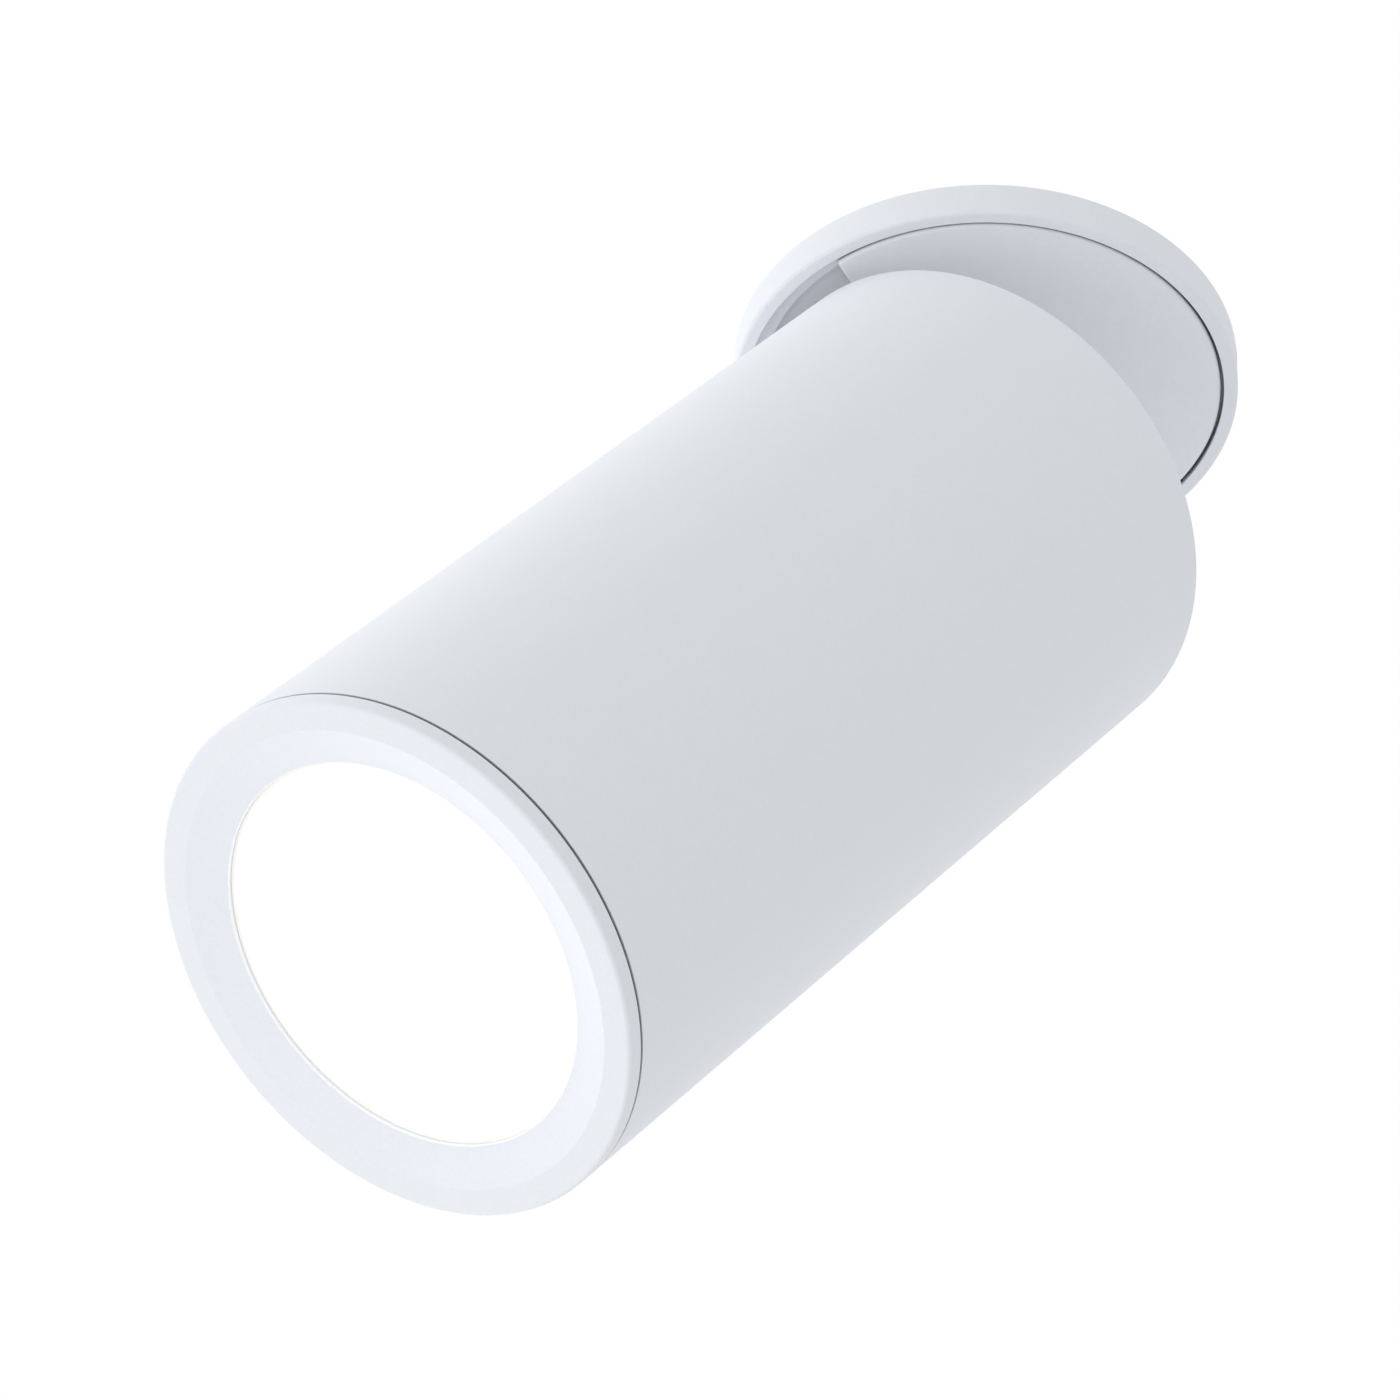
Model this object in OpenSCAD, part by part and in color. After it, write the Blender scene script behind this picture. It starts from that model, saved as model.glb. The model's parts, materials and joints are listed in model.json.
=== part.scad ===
// Surface-mounted ceiling spot: a thin round canopy, a disc that turns inside its rim,
// and a long cylindrical head on an edge hinge that folds from straight down to level.
// The origin is the centre of the ceiling plane, and the head leans towards -X.

/* [Pose] */
// Lean of the head away from straight down, in degrees
rest_tilt = 35.8; // [0:0.2:90]

/* [Canopy] */
// Outer diameter of the canopy
canopy_d = 79.6; // [79.2:0.1:81]
// Height of the canopy below the ceiling
canopy_h = 6.3; // [6.2:0.1:7.5]
// Wall of the canopy rim
rim_wall = 2.2; // [2:0.1:2.4]
// Rounding of the rim's outer front edge
rim_round = 0.6; // [0.4:0.1:1.2]
// Rounding of the rim's inner front edge
rim_inner_round = 0.15; // [0.1:0.05:0.5]
// Thickness of the canopy web and ledge
web_t = 1.2; // [1:0.1:1.3]
// Width of the ledge behind the edge of the disc
ledge_w = 2.3; // [2:0.1:2.6]
// Thickness of the riser between web and ledge
riser_t = 0.9; // [0.8:0.05:1]
// Depth of the web's upper side below the ceiling
web_depth = 1.8; // [1.7:0.05:1.9]

/* [Ceiling plate] */
// Thickness of the ceiling plate
plate_t = 1; // [0.8:0.1:1.2]
// Gap between the ceiling plate and the canopy's rim
plate_gap = 3.6; // [2.8:0.1:5]
// Diameter of the ceiling plate's centre hole
plate_hole_d = 26; // [22:1:30]
// Distance between the two ceiling screws
screw_spacing = 50; // [46:1:52]
// Width of a ceiling screw slot
slot_w = 4.5; // [4:0.1:5]
// Length of a ceiling screw slot
slot_len = 9; // [7:0.5:10]
// Direction of the canopy screws, from the lean direction, in degrees
tab_angle = 32; // [25:1:40]
// Width of a canopy tab, in degrees of arc
tab_span = 16; // [12:1:20]
// Diameter of a canopy grub screw
grub_d = 2.5; // [2:0.1:2.6]
// Diameter of the grub screw's tip, which enters the tab
grub_tip_d = 1.6; // [1.2:0.1:1.7]

/* [Swivel] */
// Thickness of the turning disc
disc_t = 1.4; // [1.2:0.1:1.5]
// Rounding of the turning disc's edge
disc_round = 0.7; // [0.3:0.1:0.9]
// Gap between the disc and the canopy rim
disc_gap = 0.5; // [0.4:0.05:0.8]
// Outer diameter of the hollow swivel bush
bush_d = 10; // [9:0.5:11]
// Bore of the swivel bush for the supply cable
bush_bore = 7.2; // [6:0.2:7.6]
// Diameter of the bush flange
flange_d = 16; // [14:0.5:18]
// Thickness of the bush flange
flange_t = 1; // [0.8:0.1:1.4]
// Diameter of the disc's centre boss
boss_d = 19; // [18:0.5:20]
// Radius of the turning stop
stop_r = 28; // [27.5:0.5:31]
// Diameter of the stop pin
stop_d = 1.6; // [1.4:0.1:2]

/* [Disc notch] */
// Clearance between the notch's inner edge and the hinge arm's leg
notch_clear = 1.1; // [0.8:0.1:2]
// Half width of the notch at its inner edge
notch_half = 5.8; // [5.6:0.1:6.4]
// Angle of the notch's sides from its centre line, in degrees
notch_angle = 38; // [30:1:42]
// Rounding of the notch's outer corners
notch_round = 1.2; // [0.8:0.1:1.8]

/* [Hinge] */
// Distance of the hinge pin from the head's side
pivot_inset = 7.5; // [7:0.1:8]
// Drop of the hinge pin below the canopy's face
pivot_drop = 12.1; // [11.8:0.1:12.6]
// Gap between the canopy and the head when the head hangs straight down
closed_gap = 5; // [4.8:0.1:5.2]
// Width of the hinge arm
arm_w = 11; // [10:0.2:11.4]
// Thickness of the hinge arm
arm_t = 3; // [2.6:0.1:3.2]
// Distance from the hinge pin to the middle of the arm's leg
arm_reach = 9.5; // [9.3:0.1:9.8]
// Radius of the arm's knuckle
knuckle_r = 3.3; // [3:0.1:3.4]
// Width of the arm's foot
foot_w = 14; // [13:0.5:16]
// Diameter of the hinge pin
pin_d = 4; // [3.6:0.1:4.2]
// Thickness of a friction washer at the hinge
washer_t = 0.5; // [0.4:0.05:0.6]
// Sheet thickness of the hinge bracket
bracket_t = 2.2; // [1.8:0.1:2.4]
// Width of a bracket flange
flange_w = 7.6; // [7:0.2:8]
// Distance of the outer bracket screws from the hinge pin
bracket_screw_inset = 5.5; // [5.4:0.1:6]
// Distance between two screws of a bracket flange
bracket_screw_pitch = 7; // [6.2:0.1:7.5]

/* [Head shell] */
// Outer diameter of the head
head_d = 80; // [79.6:0.1:80.6]
// Length of the head over its bezel
head_len = 152.4; // [148:0.5:165]
// Wall of the head tube
tube_wall = 2.4; // [2.2:0.1:2.5]
// Rounding of the tube's rear edge
rear_round = 0.5; // [0.3:0.1:0.8]
// Widening of the tube's rear bore for the cap
rear_step = 1; // [0.8:0.1:1.2]
// Widening of the tube's front bore for the light unit
front_step = 0.6; // [0.5:0.05:0.7]
// Thickness of the back cap
cap_t = 3; // [2.6:0.1:3.2]
// Inset of the back cap below the tube's rear edge
cap_inset = 0.5; // [0.3:0.1:0.8]
// Radius of a screw boss in the tube
post_r = 3.2; // [2.8:0.1:3.4]
// Length of a screw boss in the tube
post_len = 12; // [9:0.5:16]
// Diameter of the cable hole in the back cap
cable_hole_d = 10; // [9:0.5:11]

/* [Bezel] */
// Visible length of the front bezel
bezel_len = 2.7; // [2.4:0.1:3.4]
// Gap of the seam behind the bezel
seam_gap = 0.5; // [0.25:0.05:0.6]
// Width of the bezel's flat rim
flat_w = 4.2; // [3.6:0.1:4.8]
// Width of the slope between the flat rim and the light opening
cove_w = 6; // [5:0.1:6.8]
// Depth of the light opening's edge behind the flat rim
cove_depth = 2; // [1.1:0.1:2.2]
// Thickness of the bezel's inner lip
lip_t = 0.8; // [0.6:0.1:1]
// Length of the bezel's threaded spigot
spigot_len = 8.5; // [7:0.5:10]
// Wall of the bezel's spigot
spigot_wall = 1.6; // [1.4:0.1:2]
// Rounding of the bezel's front edge
bezel_round = 0.6; // [0.4:0.1:0.9]

/* [Light unit] */
// Thickness of the diffuser
diffuser_t = 2; // [1.5:0.1:2.5]
// Thickness of the diffuser gasket
gasket_t = 1; // [0.8:0.1:1.4]
// Height of the reflector
reflector_h = 16.2; // [14:0.2:20]
// Wall of the reflector
reflector_wall = 1.2; // [1:0.1:1.6]
// Inset of the light board's edge from the light opening
board_inset = 2.8; // [2.8:0.1:4]
// Thickness of the light board
board_t = 1.6; // [1.2:0.1:2]
// Thickness of the thermal pad
pad_t = 0.5; // [0.4:0.05:0.8]
// Width of a light chip
chip_w = 3; // [2.4:0.1:3.4]
// Thickness of a light chip
chip_t = 0.7; // [0.5:0.1:1]
// Inset of the board screws from the board's edge
board_screw_inset = 4; // [3.5:0.1:4.5]
// Distance between the board screws' circle and the outer ring of chips
chip_ring_inset = 7; // [6:0.1:9]
// Inset of the lead hole from the board's edge
lead_inset = 7; // [6:0.1:8]
// Diameter of the lead hole
lead_d = 4; // [3:0.1:4.4]
// Number of chips in the inner ring
chips_inner = 6; // [4:1:8]
// Number of chips in the outer ring
chips_outer = 12; // [8:1:14]

/* [Heat sink] */
// Thickness of the heat sink's base
sink_base_t = 5; // [4:0.5:7]
// Height of the heat sink's fins
fin_h = 22; // [16:1:26]
// Thickness of a heat sink fin
fin_t = 1.6; // [1.2:0.1:2]
// Number of heat sink fins
fin_count = 18; // [12:1:20]
// Diameter of the heat sink's core
core_d = 26; // [24:1:30]

/* [Driver] */
// Length of the driver case
case_len = 62; // [58:1:66]
// Width of the driver case
case_w = 44; // [40:1:46]
// Depth of the driver case
case_depth = 28; // [26:1:30]
// Wall of the driver case
case_wall = 1.6; // [1.4:0.1:2]
// Sheet thickness of the driver bracket
tray_t = 1.5; // [1.2:0.1:2]
// Clearance between the driver case and the screws of its bracket
case_clear = 0.6; // [0.4:0.1:1.5]
// Width of the driver bracket
tray_w = 36; // [34:0.5:38]
// Length of the driver bracket's foot
tray_foot = 12; // [11:0.5:13]
// Diameter of the two larger capacitors
cap_d = 10; // [8:0.5:11]
// Height of the two larger capacitors
cap_h = 15; // [12:0.5:17]
// Diameter of the small capacitor
small_cap_d = 8; // [6:0.5:9]
// Height of the small capacitor
small_cap_h = 10; // [8:0.5:14]
// Width and length of the transformer's core
coil_w = 18; // [14:0.5:20]
// Height of the transformer above the board
coil_h = 15; // [12:0.5:17]
// Thickness of a yoke of the transformer's core
yoke_t = 4; // [3:0.25:4.5]

/* [Fasteners] */
// Diameter of the cap and bracket screws
screw_d = 3; // [2.6:0.1:3.2]
// Diameter of the cap and bracket screws' heads
screw_head_d = 5.8; // [5.4:0.1:6]
// Diameter of the hinge arm's screws
arm_screw_d = 2; // [1.8:0.1:2.2]
// Diameter of the arm screws' heads
arm_screw_head_d = 3.8; // [3.5:0.1:4]
// Diameter of the driver case's screws
case_screw_d = 2.4; // [2:0.1:2.6]
// Diameter of the driver case screws' heads
case_screw_head_d = 4.4; // [4:0.1:4.8]
// Diameter of the light board's screws
board_screw_d = 2.5; // [2.2:0.1:2.6]
// Diameter of the terminal block's screws
terminal_screw_d = 2.2; // [2:0.1:2.4]
// Diameter of the earth screw
earth_screw_d = 3.8; // [3.4:0.1:4]
// Height of a pan head
pan_h = 1.6; // [1.2:0.1:1.8]

/* [Hidden] */
$fn = 96;
eps = 0.01;

// Clearances: a running fit, a seated fit, a sliding face and a free space
run_fit = 0.05;
seat_fit = 0.1;
face_play = 0.05;
free_gap = 0.3;

canopy_r = canopy_d / 2;
rim_in_r = canopy_r - rim_wall;
ledge_in_r = rim_in_r - ledge_w;
channel_in_r = ledge_in_r + riser_t;
plate_r = rim_in_r - plate_gap;
tab_out_r = rim_in_r - 0.2;
tab_in_r = tab_out_r - plate_t;
grub_drop = plate_t + grub_tip_d / 2 + 0.2;
disc_r = rim_in_r - disc_gap;
disc_back = canopy_h - disc_t;
ledge_face = disc_back - free_gap;
web_face = web_depth + web_t;
washer_low_t = 0.4;
boss_top = web_face + washer_low_t + face_play;
foot_top = web_face + free_gap;
foot_t = disc_back - foot_top;
bush_r = bush_d / 2;
clip_t = 1;
spring_t = 0.35;
clip_low = web_depth - face_play - spring_t;
clip_high = clip_low - clip_t;
groove_depth = 0.35;

head_r = head_d / 2;
bore_r = head_r - tube_wall;
pivot_x = head_r - pivot_inset;
cap_low = cap_inset + cap_t;
cap_r = bore_r + rear_step - seat_fit;
pivot_depth = pivot_drop - closed_gap;
leg_x = pivot_x - arm_reach;
notch_in = leg_x - arm_t / 2 - notch_clear;
ear_in = arm_w / 2 + washer_t + 2 * face_play;
ear_out = ear_in + bracket_t;
pocket_floor = pivot_depth + knuckle_r + 0.6;
pocket_in_x = leg_x - arm_t / 2 - 0.7;
pocket_out_x = pivot_x + knuckle_r + 0.4;
screw_r = screw_d / 2;
screw_head_r = screw_head_d / 2;
bracket_screw_x = [pivot_x - bracket_screw_inset, pivot_x - bracket_screw_inset - bracket_screw_pitch];
bracket_screw_y = ear_out + flange_w / 2 + 0.3;
post_ring_r = bore_r - post_r + 0.6;
post_angles = [0, 120, 240];

tube_len = head_len - bezel_len - seam_gap;
bezel_back = head_len - bezel_len;
opening_r = head_r - flat_w - cove_w;
diffuser_front = head_len - cove_depth - lip_t;
diffuser_back = diffuser_front - diffuser_t;
gasket_back = diffuser_back - gasket_t;
sink_face = gasket_back - reflector_h;
sink_back = sink_face - sink_base_t;
fin_back = sink_back - fin_h;
front_bore_r = bore_r + front_step;
spigot_r = front_bore_r - seat_fit;
spigot_in_r = spigot_r - spigot_wall;
unit_r = spigot_in_r - free_gap;
board_r = opening_r - board_inset;
board_back = sink_face + pad_t;
board_face = board_back + board_t;
case_low = fin_back - tray_t - pan_h - case_clear;
case_high = case_low - case_len;
tray_x = 17;

// A point on a circle in a profile
function arc(cx, cy, r, a0, a1, n = 8) =
    [for (i = [0:n]) let (a = a0 + (a1 - a0) * i / n) [cx + r * cos(a), cy + r * sin(a)]];

// A solid of revolution about Z from radius and height points
module turned(points) rotate_extrude() polygon(points);

// A flat ring that hangs below the height given by top
module washer(r_out, r_in, top, t) {
    translate([0, 0, -top - t]) difference() {
        cylinder(r = r_out, h = t);
        translate([0, 0, -1]) cylinder(r = r_in, h = t + 2);
    }
}

// A box from one corner to the other
module block(low, high) translate(low) cube(high - low);

// A countersunk screw that points down from the origin
module flat_screw(len, r = screw_r, head_r = screw_head_r) {
    head_h = head_r - r;
    difference() {
        union() {
            translate([0, 0, -head_h]) cylinder(r1 = r, r2 = head_r, h = head_h, $fn = 32);
            translate([0, 0, -len]) cylinder(r = r, h = len - head_h + eps, $fn = 32);
        }
        translate([0, 0, -head_h * 0.8]) cylinder(r = r * 0.62, h = head_h, $fn = 6);
    }
}

// The hole that a countersunk screw needs, wider than the screw by the fit
module flat_hole(len, r = screw_r, head_r = screw_head_r, fit = seat_fit) {
    head_h = head_r - r;
    translate([0, 0, -head_h]) cylinder(r1 = r + fit, r2 = head_r + fit, h = head_h, $fn = 32);
    translate([0, 0, -eps]) cylinder(r = head_r + fit, h = 2, $fn = 32);
    translate([0, 0, -len]) cylinder(r = r + fit, h = len, $fn = 32);
}

// A pan-head screw that points down, with its head above the origin
module pan_screw(len, r, head_r, head_h) {
    difference() {
        union() {
            turned([[0, 0], [head_r, 0], [head_r, head_h * 0.5],
                    [head_r * 0.85, head_h * 0.9], [head_r * 0.6, head_h], [0, head_h]]);
            translate([0, 0, -len]) cylinder(r = r, h = len + eps, $fn = 32);
        }
        translate([0, 0, head_h * 0.45]) cylinder(r = head_r * 0.45, h = head_h, $fn = 6);
    }
}

// The head's own frame: origin at the centre of its rear edge, lamp end down -Z
module in_head() {
    translate([-pivot_x, 0, -canopy_h - pivot_drop])
        rotate([0, rest_tilt, 0])
            translate([pivot_x, 0, pivot_depth]) children();
}

// Both ends of a line through the axis at the canopy screws' angle
module at_tabs() for (turn = [0, 180]) rotate([0, 0, 180 - tab_angle + turn]) children();

module canopy() {
    profile = concat(
        [[canopy_r, 0]],
        arc(canopy_r - rim_round, rim_round - canopy_h, rim_round, 0, -90),
        arc(rim_in_r + rim_inner_round, rim_inner_round - canopy_h, rim_inner_round, -90, -180, 4),
        [[rim_in_r, -ledge_face], [ledge_in_r, -ledge_face], [ledge_in_r, -web_face],
         [bush_r + run_fit, -web_face], [bush_r + run_fit, -web_depth],
         [channel_in_r, -web_depth], [channel_in_r, web_t - ledge_face],
         [rim_in_r, web_t - ledge_face], [rim_in_r, 0]]);
    color("white") difference() {
        turned(profile);
        at_tabs() translate([rim_in_r - 1, 0, -grub_drop]) rotate([0, 90, 0])
            cylinder(r = grub_d / 2 + run_fit, h = rim_wall + 2, $fn = 32);
        for (side = [-1, 1]) translate([side * screw_spacing / 2, 0, 0]) head_window();
        translate([0, stop_r, -web_face - 1]) cylinder(r = stop_d / 2 + run_fit, h = web_t + 2, $fn = 32);
    }
}

// Room in the web for the head of a ceiling screw
module head_window() {
    half = slot_len / 2 + 2;
    block([-half, -slot_w / 2 - 2.2, -web_face - 1], [half, slot_w / 2 + 2.2, 0]);
}

module ceiling_plate() {
    tab_low = ledge_face - web_t - 0.2;
    color("silver") difference() {
        union() {
            washer(plate_r, plate_hole_d / 2, 0, plate_t);
            for (turn = [0, 180]) rotate([0, 0, 180 - tab_angle - tab_span / 2 + turn])
                rotate_extrude(angle = tab_span) polygon([
                    [plate_r - 1, 0], [tab_out_r, 0], [tab_out_r, -tab_low],
                    [tab_in_r, -tab_low], [tab_in_r, -plate_t], [plate_r - 1, -plate_t]]);
        }
        for (side = [-1, 1]) translate([side * screw_spacing / 2, 0, -plate_t - 1]) slot_cut();
        at_tabs() translate([tab_in_r - 1, 0, -grub_drop]) rotate([0, 90, 0])
            cylinder(r = grub_tip_d / 2 + seat_fit, h = plate_t + 2, $fn = 32);
    }
}

// A slot with round ends along X
module slot_cut() {
    half = (slot_len - slot_w) / 2;
    block([-half, -slot_w / 2, 0], [half, slot_w / 2, plate_t + 2]);
    for (side = [-1, 1]) translate([side * half, 0, 0]) cylinder(r = slot_w / 2, h = plate_t + 2, $fn = 32);
}

module canopy_screws() {
    shoulder_r = tab_out_r + face_play;
    len = canopy_r - 0.4 - shoulder_r;
    color("silver") at_tabs() translate([shoulder_r, 0, -grub_drop]) rotate([0, 90, 0]) difference() {
        union() {
            cylinder(r = grub_d / 2, h = len, $fn = 32);
            translate([0, 0, -plate_t * 0.8]) cylinder(r = grub_tip_d / 2, h = plate_t * 0.8 + eps, $fn = 32);
        }
        translate([0, 0, len - 1.2]) cylinder(r = grub_d * 0.29, h = 2, $fn = 6);
    }
}

module stop_pin() {
    len = disc_back - free_gap - web_depth;
    color("silver") translate([0, stop_r, -web_depth - len]) cylinder(r = stop_d / 2, h = len, $fn = 32);
}

module friction_washer() {
    color("ivory") washer(boss_d / 2 - 0.5, bush_r + 0.2, web_face, washer_low_t);
}

// Outline of the cut that the notch takes from the disc, along +X, as points
function notch_side(sign) =
    let (dir = [cos(notch_angle), sin(notch_angle)],
         out = [-sin(notch_angle), cos(notch_angle)],
         start = [notch_in, notch_half] + notch_round * out,
         along = start * dir,
         reach = sqrt(along * along - start * start + pow(disc_r - notch_round, 2)) - along,
         mid = start + reach * dir,
         turn = atan2(mid.y, mid.x))
    concat([[notch_in, notch_half * sign]],
        [for (p = arc(mid.x, mid.y, notch_round, notch_angle - 90, turn, 6)) [p.x, p.y * sign]],
        [[(disc_r + 2) * cos(turn), (disc_r + 2) * sin(turn) * sign]]);

function backwards(points) = [for (i = [len(points) - 1:-1:0]) points[i]];

module cover_disc() {
    color("white") difference() {
        union() {
            turned(concat([[0, -canopy_h]],
                arc(disc_r - disc_round, disc_round - canopy_h, disc_round, -90, 0, 5),
                [[disc_r, -disc_back], [boss_d / 2, -disc_back], [boss_d / 2, -boss_top], [0, -boss_top]]));
            block([-stop_d / 2, -stop_r - 2, -disc_back - eps], [stop_d / 2, -stop_r + 2, -foot_top]);
        }
        translate([0, 0, -canopy_h - 1]) cylinder(r = bush_r + run_fit, h = canopy_h);
        translate([0, 0, -canopy_h - 1]) rotate([0, 0, 180]) linear_extrude(disc_t + 2)
            polygon(concat(notch_side(1), [[disc_r + 4, 0]], backwards(notch_side(-1))));
        at_arm_screws() rotate([180, 0, 0]) flat_hole(disc_t + 1, arm_screw_r, arm_screw_head_r);
    }
}

arm_screw_r = arm_screw_d / 2;
arm_screw_head_r = arm_screw_head_d / 2;
foot_in_x = boss_d / 2 + 1;
foot_out_x = leg_x + arm_t / 2;

// The four screws that hold the arm's foot, on the disc's face
module at_arm_screws() {
    edge = arm_screw_head_r + 0.5;
    for (x = [foot_in_x + edge, notch_in - edge], y = [-1, 1])
        translate([-x, y * (foot_w / 2 - edge), -canopy_h]) children();
}

module arm_screws() {
    color("silver") at_arm_screws() rotate([180, 0, 0])
        flat_screw(disc_t + foot_t - 0.2, arm_screw_r, arm_screw_head_r);
}

module swivel_bush() {
    top = clip_high - 0.2;
    flare = 0.6;
    color("silver") turned(concat(
        [[bush_bore / 2, -top], [bush_r - 0.2, -top], [bush_r, -top - 0.2],
         [bush_r, -clip_high], [bush_r - groove_depth, -clip_high],
         [bush_r - groove_depth, -clip_low], [bush_r, -clip_low], [bush_r, -canopy_h],
         [flange_d / 2, -canopy_h], [flange_d / 2, -canopy_h - flange_t * 0.5],
         [flange_d / 2 - 0.4, -canopy_h - flange_t]],
        arc(bush_bore / 2 + flare, flare - canopy_h - flange_t, flare, -90, -180, 5)));
}

module spring_washer() {
    color("silver") washer(bush_r + 3.4, bush_r + 0.2, clip_low, spring_t);
}

module retaining_ring() {
    lug_r = 1.5;
    inner_r = bush_r - groove_depth + seat_fit / 2;
    color("dimgray") difference() {
        union() {
            washer(bush_r + 1.6, inner_r, clip_high + face_play, clip_t - 2 * face_play);
            for (side = [-1, 1]) rotate([0, 0, side * 24]) translate([bush_r + 1.4, 0, face_play - clip_low])
                cylinder(r = lug_r, h = clip_t - 2 * face_play, $fn = 32);
        }
        linear_extrude(20, center = true)
            polygon([[0, 0], [20, 20 * tan(13)], [20, -20 * tan(13)]]);
        for (side = [-1, 1]) rotate([0, 0, side * 24]) translate([bush_r + 1.5, 0, -5])
            cylinder(r = 0.6, h = 8, $fn = 32);
        translate([0, 0, -5]) cylinder(r = inner_r, h = 8);
    }
}

// The arm in side view: foot, leg, bend and bar, with the distance towards the lean as X
module arm_outline() {
    low = canopy_h + pivot_drop;
    bend = 2.4;
    inner = leg_x - arm_t / 2;
    outer = leg_x + arm_t / 2;
    polygon(concat(
        [[foot_in_x, -foot_top], [outer, -foot_top], [outer, arm_t / 2 - low],
         [pivot_x, arm_t / 2 - low], [pivot_x, -low - arm_t / 2]],
        arc(inner + bend, bend - low - arm_t / 2, bend, -90, -180, 6),
        [[inner, -disc_back], [foot_in_x, -disc_back]]));
}

module hinge_arm() {
    color("white") difference() {
        mirror([1, 0, 0]) union() {
            intersection() {
                translate([0, foot_w / 2, 0]) rotate([90, 0, 0]) linear_extrude(foot_w) arm_outline();
                union() {
                    block([0, -foot_w / 2, -disc_back], [foot_out_x, foot_w / 2, 0]);
                    block([0, -arm_w / 2, -canopy_h - pivot_drop - arm_t], [pivot_x + 1, arm_w / 2, 0]);
                }
            }
            translate([pivot_x, arm_w / 2, -canopy_h - pivot_drop]) rotate([90, 0, 0])
                cylinder(r = knuckle_r, h = arm_w);
        }
        translate([-pivot_x, arm_w, -canopy_h - pivot_drop]) rotate([90, 0, 0])
            cylinder(r = pin_d / 2 + run_fit, h = arm_w * 2);
        at_arm_screws() cylinder(r = arm_screw_r + run_fit, h = canopy_h, $fn = 32);
    }
}

module at_posts() for (a = post_angles) rotate([0, 0, a]) translate([post_ring_r, 0, 0]) children();

module head_tube() {
    front_edge = 0.25;
    color("white") in_head() difference() {
        union() {
            turned(concat(
                [[bore_r + rear_step, 0]],
                arc(head_r - rear_round, -rear_round, rear_round, 90, 0, 5),
                arc(head_r - front_edge, front_edge - tube_len, front_edge, 0, -90, 3),
                [[front_bore_r, -tube_len], [front_bore_r, -sink_back], [bore_r, -sink_back],
                 [bore_r, -cap_low], [bore_r + rear_step, -cap_low]]));
            intersection() {
                at_posts() translate([0, 0, -cap_low - post_len]) cylinder(r = post_r, h = post_len, $fn = 32);
                translate([0, 0, -cap_low - post_len]) cylinder(r = bore_r + 0.5, h = post_len);
            }
        }
        at_posts() translate([0, 0, -cap_low - post_len + 2]) cylinder(r = screw_r + run_fit, h = post_len, $fn = 32);
    }
}

// The opening in the cap that the arm swings through
module arm_slot(depth) {
    half = arm_w / 2 + 0.7;
    block([-pocket_out_x, -half, -depth], [-pocket_in_x, half, 1]);
}

module at_bracket_screws() {
    for (x = bracket_screw_x, y = [-1, 1]) translate([-x, y * bracket_screw_y, -cap_inset]) children();
}

module back_cap() {
    edge = 0.4;
    color("white") in_head() difference() {
        turned([[0, -cap_inset], [cap_r - edge, -cap_inset], [cap_r, -cap_inset - edge],
                [cap_r, -cap_low], [0, -cap_low]]);
        arm_slot(cap_low + 1);
        translate([0, 0, -cap_low - 1]) cylinder(r = cable_hole_d / 2, h = cap_t + 2);
        at_posts() translate([0, 0, -cap_inset]) flat_hole(cap_t + 1);
        at_bracket_screws() flat_hole(cap_t + 1);
        translate([0, -earth_y, -cap_low - 1]) cylinder(r = earth_screw_d / 2 + seat_fit, h = cap_t + 2, $fn = 32);
        at_terminal_screws() translate([0, 0, -1]) cylinder(r = terminal_hole_r, h = cap_t + 2, $fn = 32);
    }
}

earth_y = 22;

module cap_screws() {
    color("silver") in_head() at_posts() translate([0, 0, -cap_inset]) flat_screw(cap_t + 6);
}

module hinge_bracket() {
    x_out = sqrt(bore_r * bore_r - ear_out * ear_out) - 0.4;
    x_in = pocket_in_x - 1.2;
    flange_out = ear_out + flange_w;
    flange_x = sqrt(bore_r * bore_r - flange_out * flange_out) - 0.4;
    flange_in_x = bracket_screw_x[1] - screw_r - 1.2;
    floor_low = pocket_floor + bracket_t;
    relief = knuckle_r + 0.4;
    color("silver") in_head() difference() {
        union() {
            for (side = [-1, 1]) {
                y0 = side > 0 ? ear_in : -ear_out;
                block([-x_out, y0, -floor_low], [-x_in, y0 + bracket_t, -cap_low]);
                f0 = side > 0 ? ear_out - eps : -flange_out;
                block([-flange_x, f0, -cap_low - bracket_t], [-flange_in_x, f0 + flange_w + eps, -cap_low]);
            }
            block([-x_out, -ear_in - eps, -floor_low], [-x_in, ear_in + eps, -pocket_floor]);
        }
        translate([-pivot_x, ear_out + 1, -pivot_depth]) rotate([90, 0, 0])
            cylinder(r = pin_d / 2 + run_fit, h = 2 * ear_out + 2);
        at_bracket_screws() translate([0, 0, -floor_low]) cylinder(r = screw_r + run_fit, h = floor_low, $fn = 32);
        // The flanges leave room for the pin's head and the nut
        for (side = [-1, 1]) {
            y0 = side > 0 ? ear_out : -ear_out - nut_h - 0.5;
            block([-flange_x - 1, y0, -cap_low - bracket_t - 1], [relief - pivot_x, y0 + nut_h + 0.5, 0]);
        }
    }
}

module bracket_screws() {
    color("silver") in_head() at_bracket_screws() flat_screw(cap_t + bracket_t);
}

nut_h = 2.4;
nut_flat = 5.5;

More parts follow.
